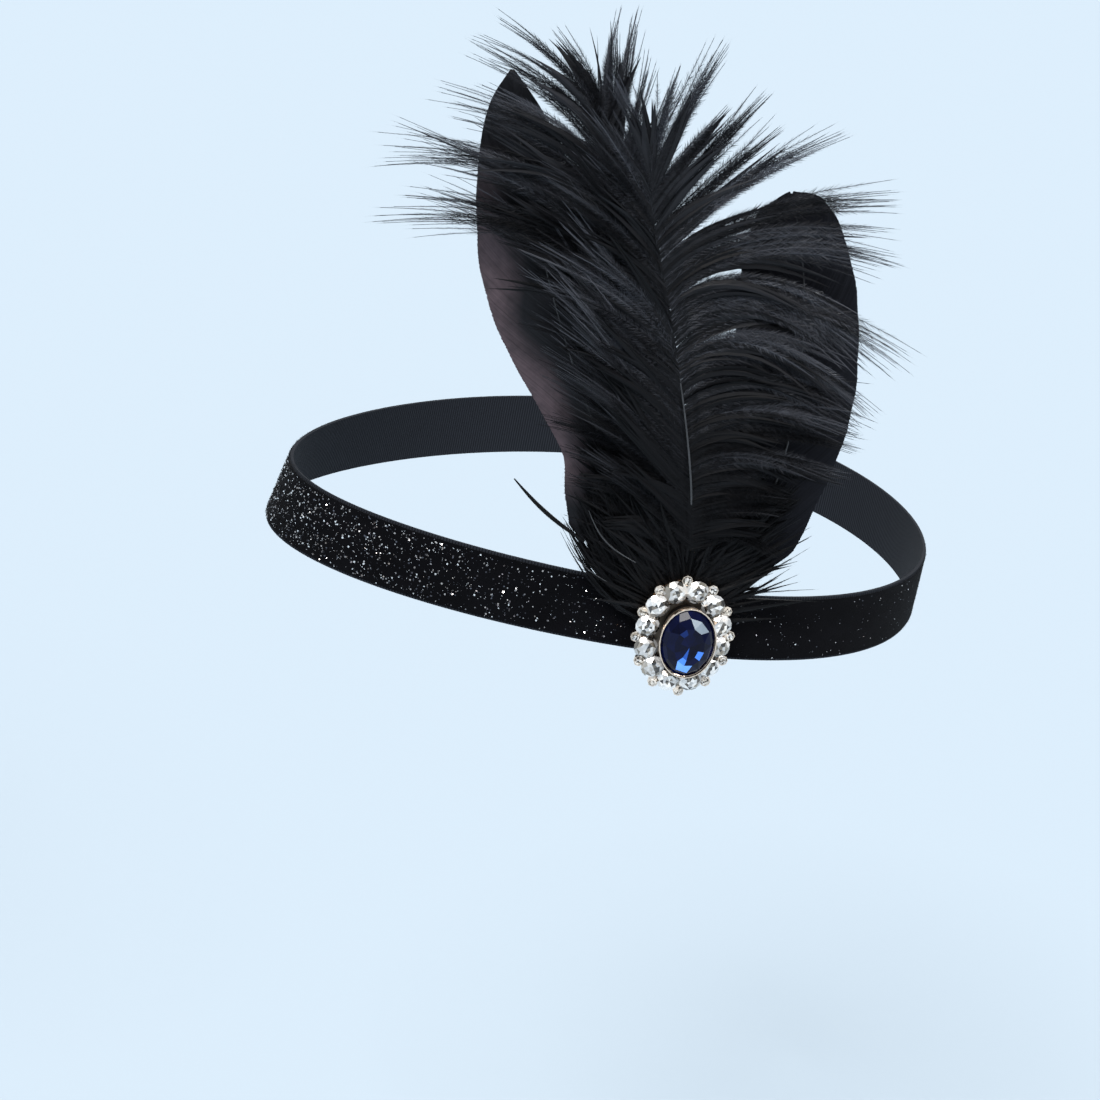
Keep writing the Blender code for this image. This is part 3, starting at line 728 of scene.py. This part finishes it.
def plume_side(plume, side, count, ease, lengths, rise, seed):
    """One side's barbs. They gather in small tufts, each with a point of its own."""
    luck = np.random.default_rng(seed)
    first = 1 if side < 0 else 4
    lowest = plume.barbs[0][0]
    steps = TUFT_PITCH * luck.uniform(0.45, 1.55, int(2 / TUFT_PITCH))
    tufts = np.minimum(lowest + np.cumsum(steps) - TUFT_PITCH / 2, 1.0)
    spaced = (np.arange(count) + luck.uniform(0, 1, count)) / count
    roots = np.sort(lowest + (1 - lowest) * spaced ** ease)
    nearest = np.abs(roots[:, None] - tufts[None, :]).argmin(axis=1)
    gathered = tufts[nearest] + (roots - tufts[nearest]) * luck.uniform(-0.1, 0.3, count)

    def by_tuft(spreads, middle=0):
        """Each barb's share of its tuft's draw, and a draw of its own."""
        shared = luck.normal(middle, spreads[0], len(tufts))
        return shared[nearest] + luck.normal(0, spreads[1], count)

    shortest, longest = lengths
    tuft_lengths = shortest + (longest - shortest) * luck.beta(1.3, 0.8, len(tufts))
    longer = tuft_lengths[nearest] * (1 - 0.20 * luck.beta(1.0, 1.8, count))
    turned = np.radians(by_tuft(TURNS))
    curled = np.radians(by_tuft(CURLS))
    lifted = rise + by_tuft(LIFTS)
    shades = np.clip(by_tuft(SHADES, MIDDLE_SHADE), 0, 1)

    def line(way):
        near = np.clip(way, 0, 1)
        eased = near * near * (3 - 2 * near)
        root = roots[:, None] + (gathered - roots)[:, None] * eased
        length = np.maximum(smooth(plume.barbs, first, root), 0.05) * BARB_LENGTH * longer[:, None]
        start = np.radians(smooth(plume.barbs, first + 1, root)) + turned[:, None]
        end = np.radians(smooth(plume.barbs, first + 2, root)) + curled[:, None]
        aside, ahead = swept(start, end, way)
        place = on_shaft(plume, root)
        place[..., 0] += length * aside
        place[..., 1] += length * ahead
        place[..., 2] += (plume.lift + lifted[:, None]) * way * near
        return place

    return line, shades, luck


def barb_taper(thins):
    """Narrow at the root, full from a fifth of the way, and down to a bare tip from thins on."""

    def taper(way):
        full = 0.35 + 0.65 * climb(way, 0, 0.2)
        return full * (1 - 0.92 * climb(way, thins, 0.97 - thins) ** 1.2)

    return taper


def lock_taper(way):
    return (0.4 + 0.6 * climb(way, 0, 0.25)) * (1 - 0.97 * climb(way, 0.35, 0.65) ** 1.3)


def make_plume(plume, barb_finish, rachis_finish):
    """Dark locks behind, with the barbs and their barbules over them. The locks take a lower tone:
    painted shade under the barbs.
    """
    lock = strip_template(9, LOCK_HALF_WIDTH)
    for (side, hand), count, thins in zip(SIDES, plume.counts, plume.thins):
        seed = plume.seed + side
        line, shades, luck = plume_side(plume, side, LOCK_COUNT, LOCK_EASE, LOCK_REACH, LOCK_SUNK, seed)
        twists = luck.normal(0, 0.5, LOCK_COUNT)
        mesh = bend_strands(lock, line, shades * LOCK_SHADE, twists, lock_taper)
        add_piece(f"{plume.name}_{hand}_locks", mesh, barb_finish, (plume.node,))
        taper = barb_taper(thins)
        template = barb_template(BARB_RINGS, BARBULE_COUNT, BARBULE_REACH, BARBULE_LEAN, taper, seed + 10)
        line, shades, luck = plume_side(plume, side, count, BARB_EASE, BARB_REACH, 0.0, seed)
        twists = luck.normal(0, 0.35, count)
        mesh = bend_strands(template, line, shades, twists, taper)
        add_piece(f"{plume.name}_{hand}_barbs", mesh, barb_finish, (plume.node,))
    shares = np.linspace(-QUILL_TAIL / plume.height, SHAFT_TOP, 60)
    radii = quill_radii(shares, 0.85, QUILL_TOP / plume.height, 0.14, 0.52)
    places = on_shaft(plume, shares)
    # It lies open on the barbs over its middle, and sinks among them above and below
    sunk = climb(shares, 0.50, 0.15) + climb(0.36 - shares, 0, 0.10)
    places[:, 2] += SHAFT_PROUD - SHAFT_SUNK * sunk * (shares > QUILL_TOP / plume.height)
    add_piece(f"{plume.name}_shaft", shaft_mesh(places, radii), rachis_finish)


# Down fans out from a line of roots, given by its ends sideways, up and out. Headings in degrees and
# reach in metres hold for the line's foot and then its top. Curl is what a tip keeps of its heading.
Down = namedtuple("Down", "name slot count foot top spread headings reach lift curl")

DOWN_FANS = (
    Down(
        name="middle_down", slot="ostrich", count=420,
        foot=(0.0, 0.002, 0.0021), top=(-0.006, 0.036, 0.0062), spread=0.0045,
        headings=((-76, 76), (-44, 42)), reach=(0.036, 0.030), lift=0.0012, curl=(0.60, 1.15),
    ),
    Down(
        name="front_down", slot="goose", count=430,
        foot=(-0.003, 0.003, 0.0016), top=(-0.029, 0.045, 0.0016), spread=0.0010,
        headings=((-70, -34), (-66, -8)), reach=(0.034, 0.017), lift=0.0008, curl=(0.60, 1.15),
    ),
    Down(
        name="front_fluff", slot="goose", count=420,
        foot=(-0.004, -0.001, 0.0012), top=(-0.017, 0.024, 0.0012), spread=0.0012,
        headings=((-94, -66), (-84, -58)), reach=(0.045, 0.026), lift=0.0, curl=(0.22, 0.45),
    ),
    Down(
        name="rear_down", slot="goose", count=260,
        foot=(0.004, 0.004, 0.0016), top=(0.0150, 0.038, 0.0018), spread=0.0010,
        headings=((24, 60), (14, 50)), reach=(0.020, 0.014), lift=0.0006, curl=(0.60, 1.15),
    ),
)


def make_down(fan, seed, material):
    """Soft black down at the feathers' feet, which hides their quills."""
    luck = np.random.default_rng(seed)
    up = luck.uniform(0, 1, fan.count)
    over = luck.uniform(0, 1, fan.count)
    foot, top = np.array(fan.foot), np.array(fan.top)
    root = foot + (top - foot) * up[:, None]
    root[:, 0] += (over * 2 - 1) * fan.spread
    root[:, 2] += luck.normal(0, 0.0005, fan.count)
    (foot_from, foot_to), (top_from, top_to) = fan.headings
    foot_heading = foot_from + (foot_to - foot_from) * over
    top_heading = top_from + (top_to - top_from) * over
    heading = foot_heading * (1 - up) + top_heading * up
    start = np.radians(heading + luck.normal(0, 6, fan.count))
    end = start * luck.uniform(*fan.curl, fan.count)
    reach = fan.reach[0] + (fan.reach[1] - fan.reach[0]) * up
    length = reach * luck.uniform(0.3, 1.0, fan.count) ** 0.5
    lift = luck.normal(fan.lift, 0.0012, fan.count)

    def line(way):
        aside, ahead = swept(start[:, None], end[:, None], way)
        place = np.repeat(root[:, None, :], way.shape[1], axis=1)
        place[..., 0] += length[:, None] * aside
        place[..., 1] += length[:, None] * ahead
        place[..., 2] += lift[:, None] * way
        return place

    tones = luck.uniform(0, 1, fan.count)
    twists = luck.normal(0, 0.7, fan.count)
    taper = barb_taper(DOWN_THINS)
    barb = barb_template(DOWN_RINGS, DOWN_BARBULES, DOWN_REACH, DOWN_LEAN, taper, seed + 1)
    add_piece(fan.name, bend_strands(barb, line, tones, twists, taper), material)
    lock = strip_template(6, DOWN_HALF_WIDTH)
    # Painted shade: the locks under the down take a lower tone
    mesh = bend_strands(lock, line, tones * LOCK_SHADE, twists, lock_taper)
    add_piece(f"{fan.name}_locks", mesh, material)


# Sideways and up of both ends, in metres, how far it bows, its stand-off and its radius
LOOSE_STRANDS = (
    ("glinting_strand", -0.0345, 0.0330, -0.0185, 0.0195, -0.0016, 0.0075, 0.00024),
    ("lower_strand", -0.0380, 0.0222, -0.0250, 0.0118, -0.0010, 0.0050, 0.00018),
    ("spike_strand", -0.0555, 0.0376, -0.0330, 0.0220, -0.0008, 0.0030, 0.00062),
)


def make_loose_strands(glossy, matt):
    for name, left, top, right, foot, bow, out, radius in LOOSE_STRANDS:
        way = np.linspace(0, 1, 16)
        hump = np.sin(np.pi * way)
        aside = left + (right - left) * way + bow * hump
        height = top + (foot - top) * way + bow * hump
        places = np.stack([aside, height, np.full_like(way, out)], axis=-1)
        radii = radius * (0.12 + 0.88 * np.sin(np.pi * np.clip(0.06 + 0.8 * way, 0, 1)))
        finish = matt if name == "spike_strand" else glossy
        add_piece(name, shaft_mesh(places, radii), finish)


# The goose feathers

# Count is of strips on each side. Rows: share of height, sweep, stand-off as a share of the quill's
# seat, left and right half widths as shares of the widest, and how far the vane's edges cup inwards.
Goose = namedtuple("Goose", "name node slot height sweep half_width count seed rows")
FRONT_GOOSE = Goose(
    name="front_goose", node="goose_feather_front", slot=-1.5, height=0.1465, sweep=-0.0755,
    half_width=0.0188, count=420, seed=61,
    rows=(
        (0.075, 0.120, 0.90, 0.50, 0.07, 0.0),
        (0.120, 0.200, 0.75, 0.86, 0.15, 0.0),
        (0.190, 0.270, 0.62, 0.93, 0.28, 0.4),
        (0.270, 0.365, 0.58, 0.74, 0.48, 0.7),
        (0.330, 0.425, 0.58, 0.60, 0.60, 0.9),
        (0.440, 0.550, 0.60, 0.68, 0.70, 1.0),
        (0.550, 0.662, 0.60, 0.85, 0.78, 1.0),
        (0.660, 0.762, 0.60, 0.90, 0.80, 1.0),
        (0.770, 0.848, 0.55, 0.78, 0.70, 0.9),
        (0.875, 0.927, 0.40, 0.56, 0.48, 0.6),
        (0.955, 0.980, 0.25, 0.28, 0.24, 0.3),
        (1.000, 1.000, 0.20, 0.00, 0.00, 0.1),
    ),
)
REAR_GOOSE = Goose(
    name="rear_goose", node="goose_feather_rear", slot=1.5, height=0.1265, sweep=0.0176,
    half_width=0.0180, count=380, seed=81,
    rows=(
        (0.075, 0.400, 0.90, 0.05, 0.42, 0.0),
        (0.120, 0.530, 0.80, 0.16, 0.64, 0.0),
        (0.205, 0.740, 0.75, 0.36, 0.74, 0.4),
        (0.330, 0.930, 0.75, 0.66, 0.80, 0.8),
        (0.435, 0.995, 0.75, 0.82, 0.90, 1.0),
        (0.550, 0.980, 0.75, 0.92, 0.95, 1.0),
        (0.670, 0.885, 0.72, 0.98, 0.91, 1.0),
        (0.790, 0.715, 0.66, 0.96, 0.82, 0.9),
        (0.885, 0.510, 0.58, 0.84, 0.68, 0.7),
        (0.950, 0.330, 0.50, 0.64, 0.52, 0.4),
        (0.984, 0.230, 0.46, 0.40, 0.30, 0.2),
        (1.000, 0.180, 0.45, 0.00, 0.00, 0.1),
    ),
)


def on_quill(goose, share):
    rows = [(*end, 1, 0, 0, 0) for end in slot_ends(goose)] + list(goose.rows)
    out = smooth(rows, 2, share) * QUILL_SEAT
    return np.stack([smooth(rows, 1, share) * goose.sweep, share * goose.height, out], axis=-1)


def vane_side(goose, side):
    """One side's barbs, each from the quill up and out to the vane's edge."""
    count = goose.count
    luck = np.random.default_rng(goose.seed + side)
    column = 3 if side < 0 else 4
    spaced = np.arange(count) + luck.uniform(0.3, 0.7, count)
    roots = VANE_FOOT + (VANE_TOP - VANE_FOOT) * spaced / count
    slants = np.minimum(VANE_SLANT, 0.85 * (1 - roots)) * luck.normal(1.0, 0.003, count)
    reaches = 1 + 0.008 * np.sin(roots * 61) + luck.normal(0, 0.003, count)
    waves = luck.normal(0, 0.00003, count)

    def line(way):
        near = np.clip(way, 0, 1)
        share = roots[:, None] + slants[:, None] * near ** 1.15
        middle = on_quill(goose, share)
        ahead = on_quill(goose, share + 0.01) - on_quill(goose, share - 0.01)
        across = unit(np.stack([ahead[..., 1], -ahead[..., 0], np.zeros_like(share)], axis=-1))
        half = smooth(goose.rows, column, share) * goose.half_width * reaches[:, None]
        place = middle + across * (side * half * way)[..., None]
        cup = smooth(goose.rows, 5, share) * VANE_CUP
        place[..., 2] += waves[:, None] - cup * near * near
        return place

    tones = np.clip(luck.normal(0.5, 0.22, count), 0, 1)
    twists = side * (0.16 + luck.normal(0, 0.02, count))
    return line, tones, twists


def vane_taper(way):
    return 1 - 0.6 * climb(way, 0.95, 0.05) ** 2


def make_goose(goose, vane_finishes, rachis_finish):
    template = strip_template(14, VANE_BARB_WIDTH / 2)
    for (side, hand), vane_finish in zip(SIDES, vane_finishes):
        line, tones, twists = vane_side(goose, side)
        mesh = bend_strands(template, line, tones, twists, vane_taper)
        mesh.shade_smooth()
        add_piece(f"{goose.name}_{hand}_vane", mesh, vane_finish, (goose.node,))
    shares = np.linspace(-QUILL_TAIL / goose.height, GOOSE_QUILL_TOP, 50)
    radii = quill_radii(shares, 0.9, 0.03, 0.2, 0.45)
    mesh = shaft_mesh(on_quill(goose, shares), radii)
    add_piece(f"{goose.name}_quill", mesh, rachis_finish)


# The band

def make_band(material):
    half = BAND_HEIGHT / 2
    pile = half - SELVEDGE
    outer = BAND_WALL / 2
    # Round the section from the outer face's foot: out, up, and whether it is pile
    section = np.array([
        (outer, -pile, 1), (outer * 1.08, 0.0, 1), (outer, pile, 1), (outer * 0.45, pile, 0),
        (outer * 0.45, half, 0), (-outer * 0.9, half, 0), (-outer * 0.9, -half, 0),
        (outer * 0.45, -half, 0), (outer * 0.45, -pile, 0), (outer, -pile, 1),
    ])
    fine = np.linspace(0, 2 * math.pi, LOOP_STEPS * LOOP_FINENESS + 1)
    middles = band_middle(fine)[0]
    ways = np.concatenate([[0], np.cumsum(np.linalg.norm(np.diff(middles, axis=0), axis=1))])
    bm = bmesh.new()
    bmesh.ops.create_grid(bm, x_segments=LOOP_STEPS, y_segments=len(section) - 1, size=0.5)
    bm.verts.ensure_lookup_table()
    shares = np.array([(vert.co.x + 0.5, vert.co.y + 0.5) for vert in bm.verts])
    turns = np.interp(shares[:, 0] * ways[-1], ways, fine)
    middle, _, _, tilt_out, tilt_up = band_wall(turns)
    rows = np.rint(shares[:, 1] * (len(section) - 1)).astype(int)
    outs, ups, piles = section[rows].T
    places = middle + tilt_out * outs[:, None] + tilt_up * ups[:, None]
    way_layer = bm.verts.layers.float.new("along")
    pile_layer = bm.verts.layers.float.new("pile")
    for vert, place, share, soft in zip(bm.verts, places, shares, piles):
        vert.co = place
        vert[way_layer] = share[0] * ways[-1]
        vert[pile_layer] = soft
    bmesh.ops.remove_doubles(bm, verts=bm.verts, dist=1e-7)
    bmesh.ops.recalc_face_normals(bm, faces=bm.faces)
    mesh = mesh_from(bm)
    mesh.shade_smooth()
    mesh.set_sharp_from_angle(angle=math.radians(40))
    band = add_piece("velvet_band", mesh, material, ("band",))
    return fine, ways


def polygons(corners, count):
    """One mesh of many flat polygons, and their corners as a row for each."""
    bm = bmesh.new()
    bmesh.ops.create_circle(bm, cap_ends=True, segments=corners, radius=1)
    return copies(mesh_from(bm), count)


def make_glitter(fine, ways, material):
    """Small flat flakes on the pile, dense at the forehead and sparse behind, with painted glints
    brighter at the forehead.
    """
    mesh, shapes = polygons(6, FLAKE_COUNT)
    density = 0.10 + np.clip(0.5 + 0.5 * np.cos(fine), 0, 1) ** 3
    filled = np.concatenate([[0], np.cumsum((density[1:] + density[:-1]) / 2 * np.diff(ways))])
    turns = np.interp(chance.uniform(0, filled[-1], FLAKE_COUNT), filled, fine)
    middle, along, out, _, up = band_wall(turns)
    rise = chance.uniform(-1, 1, FLAKE_COUNT) * (BAND_HEIGHT / 2 - SELVEDGE * 1.3)
    spread = chance.normal(0, FLAKE_TILT, (2, FLAKE_COUNT, 1))
    face = unit(out + along * spread[0] + up * spread[1])
    first = unit(np.cross(face, up))
    second = np.cross(first, face)
    ahead = np.clip(0.5 + 0.5 * np.cos(turns), 0, 1)
    size = FLAKE_RADIUS + FLAKE_GROWTH * chance.uniform(0, 1, FLAKE_COUNT) ** 2
    size = size * (0.8 + 0.45 * ahead)
    stand = BAND_WALL / 2 + FLAKE_STAND_OFF
    centre = middle + out * stand + up * rise[:, None]
    places = (
        centre[:, None]
        + first[:, None] * (shapes[..., 0] * size[:, None])[..., None]
        + second[:, None] * (shapes[..., 1] * size[:, None])[..., None]
    )
    put_places(mesh, places)
    # Painted glints: flakes at the forehead get brighter tones
    tones = chance.uniform(0, 1, FLAKE_COUNT) ** (2.6 - 1.9 * ahead)
    set_attribute(mesh, "tone", np.repeat(tones, shapes.shape[1]))
    add_piece("glitter_flakes", mesh, material)


def make_fuzz(fine, ways, material):
    """Short hairs all over the pile, so that its outline is soft."""
    mesh, shapes = polygons(3, FUZZ_COUNT)
    turns = np.interp(chance.uniform(0, ways[-1], FUZZ_COUNT), ways, fine)
    middle, along, _, tilted, up = band_wall(turns)
    # Most hairs stand along the two edges, the rest anywhere on the pile
    rise = np.where(
        chance.uniform(0, 1, FUZZ_COUNT) < 0.55,
        np.sign(chance.uniform(-1, 1, FUZZ_COUNT)) * (1 - chance.uniform(0, 0.03, FUZZ_COUNT)),
        chance.uniform(-1, 1, FUZZ_COUNT),
    )
    edge = np.abs(rise) > 0.96
    stands = up * (np.sign(rise) * np.where(edge, 0.9, 0.15))[:, None]
    outwards = tilted * chance.uniform(0.5, 1.0, (FUZZ_COUNT, 1))
    heading = unit(outwards + stands + along * chance.normal(0, 0.35, (FUZZ_COUNT, 1)))
    level = rise * (BAND_HEIGHT / 2 - SELVEDGE * 0.9)
    foot = middle + tilted * (BAND_WALL / 2 - HAIR_SUNK) + up * level[:, None]
    length = chance.uniform(*HAIR_LENGTHS, FUZZ_COUNT)
    around = np.arctan2(shapes[..., 1], shapes[..., 0])
    order = np.argsort(np.argsort(around, axis=1), axis=1)
    side = unit(np.cross(heading, up + along * 0.3))
    places = (
        foot[:, None]
        + side[:, None] * ((order == 0).astype(float) - (order == 1))[..., None] * HAIR_HALF_WIDTH
        + heading[:, None] * ((order == 2) * length[:, None])[..., None]
    )
    put_places(mesh, places)
    set_attribute(mesh, "tone", np.repeat(chance.uniform(0, 1, FUZZ_COUNT), shapes.shape[1]))
    add_piece("velvet_fuzz", mesh, material)


# The brooch

def node_span(name, axes):
    """A node's middle, and its half sizes along three directions, at rest."""
    spans = places_of(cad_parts[name].data) @ axes.T
    low, high = spans.min(axis=0), spans.max(axis=0)
    return ((low + high) / 2) @ axes, (high - low) / 2


def brooch_axes():
    """The brooch's own sideways, up and out, as rows."""
    along, up, out = SEAT_AXES
    right = along * math.cos(BROOCH_ROLL) + up * math.sin(BROOCH_ROLL)
    return np.stack([right, np.cross(out, right), out])


def cut_stone(middle, half, axes, facets, seed, tone_of):
    """A stone cut with a table, two rings of crown facets and a pavilion. The table is parted into
    the facets that show through it, and every facet has its own tone, which picks its painted reflection.
    """
    luck = np.random.default_rng(seed)
    bm = bmesh.new()
    step = math.pi / facets
    # Rings from the table down: share of the half size, share of the half depth, turn and points
    for share, rise, turn, points in (
        (0.56, 1.00, step, facets),
        (0.82, 0.62, 0, facets),
        (1.00, 0.10, step / 2, facets * 2),
        (1.00, -0.02, step / 2, facets * 2),
        (0.12, -1.00, step, facets),
    ):
        for k in range(points):
            angle = 2 * math.pi * k / points + turn
            aside = half[0] * share * math.cos(angle)
            ahead = half[1] * share * math.sin(angle)
            bm.verts.new((aside, ahead, half[2] * rise))
    bmesh.ops.convex_hull(bm, input=bm.verts)
    bmesh.ops.delete(bm, geom=[vert for vert in bm.verts if not vert.link_faces], context="VERTS")
    bmesh.ops.dissolve_limit(bm, angle_limit=math.radians(1), verts=bm.verts, edges=bm.edges)
    bmesh.ops.recalc_face_normals(bm, faces=bm.faces)
    bm.faces.ensure_lookup_table()
    table = max(bm.faces, key=lambda face: face.calc_center_median().z)
    bmesh.ops.inset_region(bm, faces=[table], thickness=half[0] * TABLE_INSET)
    bmesh.ops.poke(bm, faces=[table])
    tone = bm.faces.layers.float.new("tone")
    painted_band_turn = luck.uniform(0, 2 * math.pi)
    for face in bm.faces:
        centre = face.calc_center_median()
        face[tone] = tone_of(luck, painted_band_turn, centre.x / half[0], centre.y / half[1], centre.z / half[2])
    turned = Matrix(axes.T.tolist()).to_4x4()
    bmesh.ops.transform(bm, matrix=Matrix.Translation(middle) @ turned, verts=bm.verts)
    return mesh_from(bm)


def clear_tone(luck, painted_band_turn, x, y, z):
    """Foil behind a stone, shown by painted reflections in broad bands, white beside black, with stray
    facets between.
    """
    if luck.uniform() < STRAY_FACETS:
        return luck.choice((0.05, 0.35, 0.7, 1.0))
    across = x * math.cos(painted_band_turn) + y * math.sin(painted_band_turn)
    darkest, lightest = next(band[1:] for band in PAINTED_REFLECTION_BANDS if across > band[0])
    return luck.uniform(darkest, lightest)


def sapphire_tone(luck, painted_band_turn, x, y, z):
    """Dark but for a few painted flashes low in the table, one low on the crown, and a painted pale
    reflection on a facet high on it.
    """
    turn = math.degrees(math.atan2(y, x))
    radius = math.hypot(x, y)
    crown = 0.5 < z < 0.97
    table = z > 0.9
    if crown and radius > 0.5 and 38 < turn < 76:
        return 1.0
    if crown and -124 < turn < -88:
        return 0.88
    if table and radius > 0.40 and (-140 < turn < -100 or -45 < turn < -15):
        return luck.uniform(0.62, 0.78)
    if table and radius > 0.40 and 105 < turn < 135:
        return luck.uniform(0.26, 0.32)
    if table and radius < 0.40 and -125 < turn < -100:
        return luck.uniform(0.42, 0.55)
    return luck.uniform(0.0, 0.16)


def drawn_in(places):
    """Draws the ring of small stones and their cups in towards the middle stone."""
    axes = brooch_axes()
    middle, half = node_span("centre_stone", axes)
    local = (places - middle) @ axes.T
    reach = np.hypot(local[:, 0] / half[0], local[:, 1] / half[1])
    share = climb(reach, RING_REACH, RING_EASE)
    local[:, 0] -= share * (local[:, 0] * RING_DRAWN_ASIDE + RING_DRAWN_BY)
    local[:, 1] -= share * local[:, 1] * RING_DRAWN_UP
    return middle + local @ axes


def make_setting(gold):
    """The frame's own setting, with its ring of cups drawn in."""
    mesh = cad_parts["brooch_setting"].data.copy()
    put_places(mesh, drawn_in(places_of(mesh)))
    add_piece("polished_setting", mesh, gold, ("brooch_setting",))


def make_stones(finishes):
    """The small stones sit a little proud of their cups, and just over the cups' rims."""
    axes = brooch_axes()
    for name in sorted(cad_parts):
        if "stone" not in name:
            continue
        middle, half = node_span(name, axes)
        kind = name.split("_")[0]
        growth, proud, facets = STONE_KINDS[kind]
        half = half * np.array([growth, growth, 1.0])
        middle = drawn_in(middle[None])[0] + axes[2] * proud
        centre = kind == "centre"
        seed = sum(map(ord, name))
        tone_of = sapphire_tone if centre else clear_tone
        mesh = cut_stone(middle, half, axes, facets, seed, tone_of)
        add_piece(f"{name}_cut", mesh, finishes[kind], (name,))


# The stage

def make_stage():
    bm = bmesh.new()
    level = Matrix.Translation((0, 0, FLOOR_LEVEL))
    bmesh.ops.create_circle(bm, cap_ends=True, segments=64, radius=FLOOR_RADIUS, matrix=level)
    floor = add_object("floor", mesh_from(bm))
    material, _ = new_finish("pale_floor")
    feed(material, Base_Color=FLOOR_COLOUR, Roughness=1.0, Specular_IOR_Level=0.0)
    floor.data.materials.append(material)
    world = bpy.data.worlds.new("soft_daylight")
    bpy.context.scene.world = world
    world.use_nodes = True
    sky = world.node_tree.nodes["Background"].inputs
    sky["Color"].default_value = SKY_COLOUR
    sky["Strength"].default_value = SKY_STRENGTH


def make_light(name, heading, elevation, strength, softness, colour):
    """A far, soft lamp, at a compass heading and an elevation."""
    lamp = bpy.data.lights.new(name, "SUN")
    lamp.energy = strength
    lamp.angle = math.radians(softness)
    lamp.color = colour
    thing = add_object(name, lamp)
    turn = Matrix.Rotation(-math.radians(heading), 4, "Z")
    thing.matrix_world = turn @ Matrix.Rotation(-math.radians(90 - elevation), 4, "X")


def make_camera():
    tipped = Matrix.Rotation(math.pi / 2 - CAMERA_ELEVATION, 3, "X")
    turned = Matrix.Rotation(CAMERA_AZIMUTH, 3, "Z") @ tipped @ Matrix.Rotation(CAMERA_ROLL, 3, "Z")
    right, up, back = (turned.col[k] for k in range(3))
    place = right * AIM_RIGHT + up * AIM_UP + back * CAMERA_DISTANCE
    lens = bpy.data.cameras.new("camera")
    lens.lens = CAMERA_LENS
    lens.sensor_width = SENSOR_WIDTH
    camera = add_object("camera", lens)
    camera.matrix_world = Matrix.Translation(place) @ turned.to_4x4()
    bpy.context.scene.camera = camera


make_camera()
make_stage()
for lamp in LAMPS:
    make_light(*lamp)

ostrich = ostrich_finish()
shaft = shaft_finish()
# Each vane's paler edge colour is painted sheen and light through its thin edge: mauve on the front
# goose's left vane, blue-grey on the rest
dark_vane = goose_finish("goose_vane", (0.020, 0.022, 0.030), painted_edge_weight=0.8, starts=0.45, shine=0.25)
matt_vane = goose_finish("goose_vane_matt", (0.012, 0.013, 0.017), painted_edge_weight=0.8, starts=0.45, shine=0.05)
painted_edge_vane = goose_finish(
    "goose_vane_painted_edge", (0.100, 0.072, 0.082), painted_edge_weight=1.0, starts=0.32, shine=0.22
)
make_plume(FRONT_PLUME, ostrich, shaft)
make_plume(BACK_PLUME, ostrich, shaft)
down = down_finish()
for number, fan in enumerate(DOWN_FANS):
    make_down(fan, DOWN_SEED + 10 * number, down)
make_loose_strands(shaft, down)
make_goose(FRONT_GOOSE, (painted_edge_vane, dark_vane), shaft)
make_goose(REAR_GOOSE, (matt_vane, matt_vane), shaft)
loop_turns, loop_ways = make_band(velvet_finish())
make_glitter(loop_turns, loop_ways, flake_finish())
make_fuzz(loop_turns, loop_ways, fuzz_finish())
# Warmth sets how much painted reflection of the gold cups the clear stones show
make_stones({
    "centre": sapphire_finish(),
    "halo": clear_finish("clear_glass", warmth=0.05),
    "accent": clear_finish("clear_glass_warm", warmth=0.22),
})
make_setting(gold_finish())

bpy.context.scene.view_settings.view_transform = "Standard"
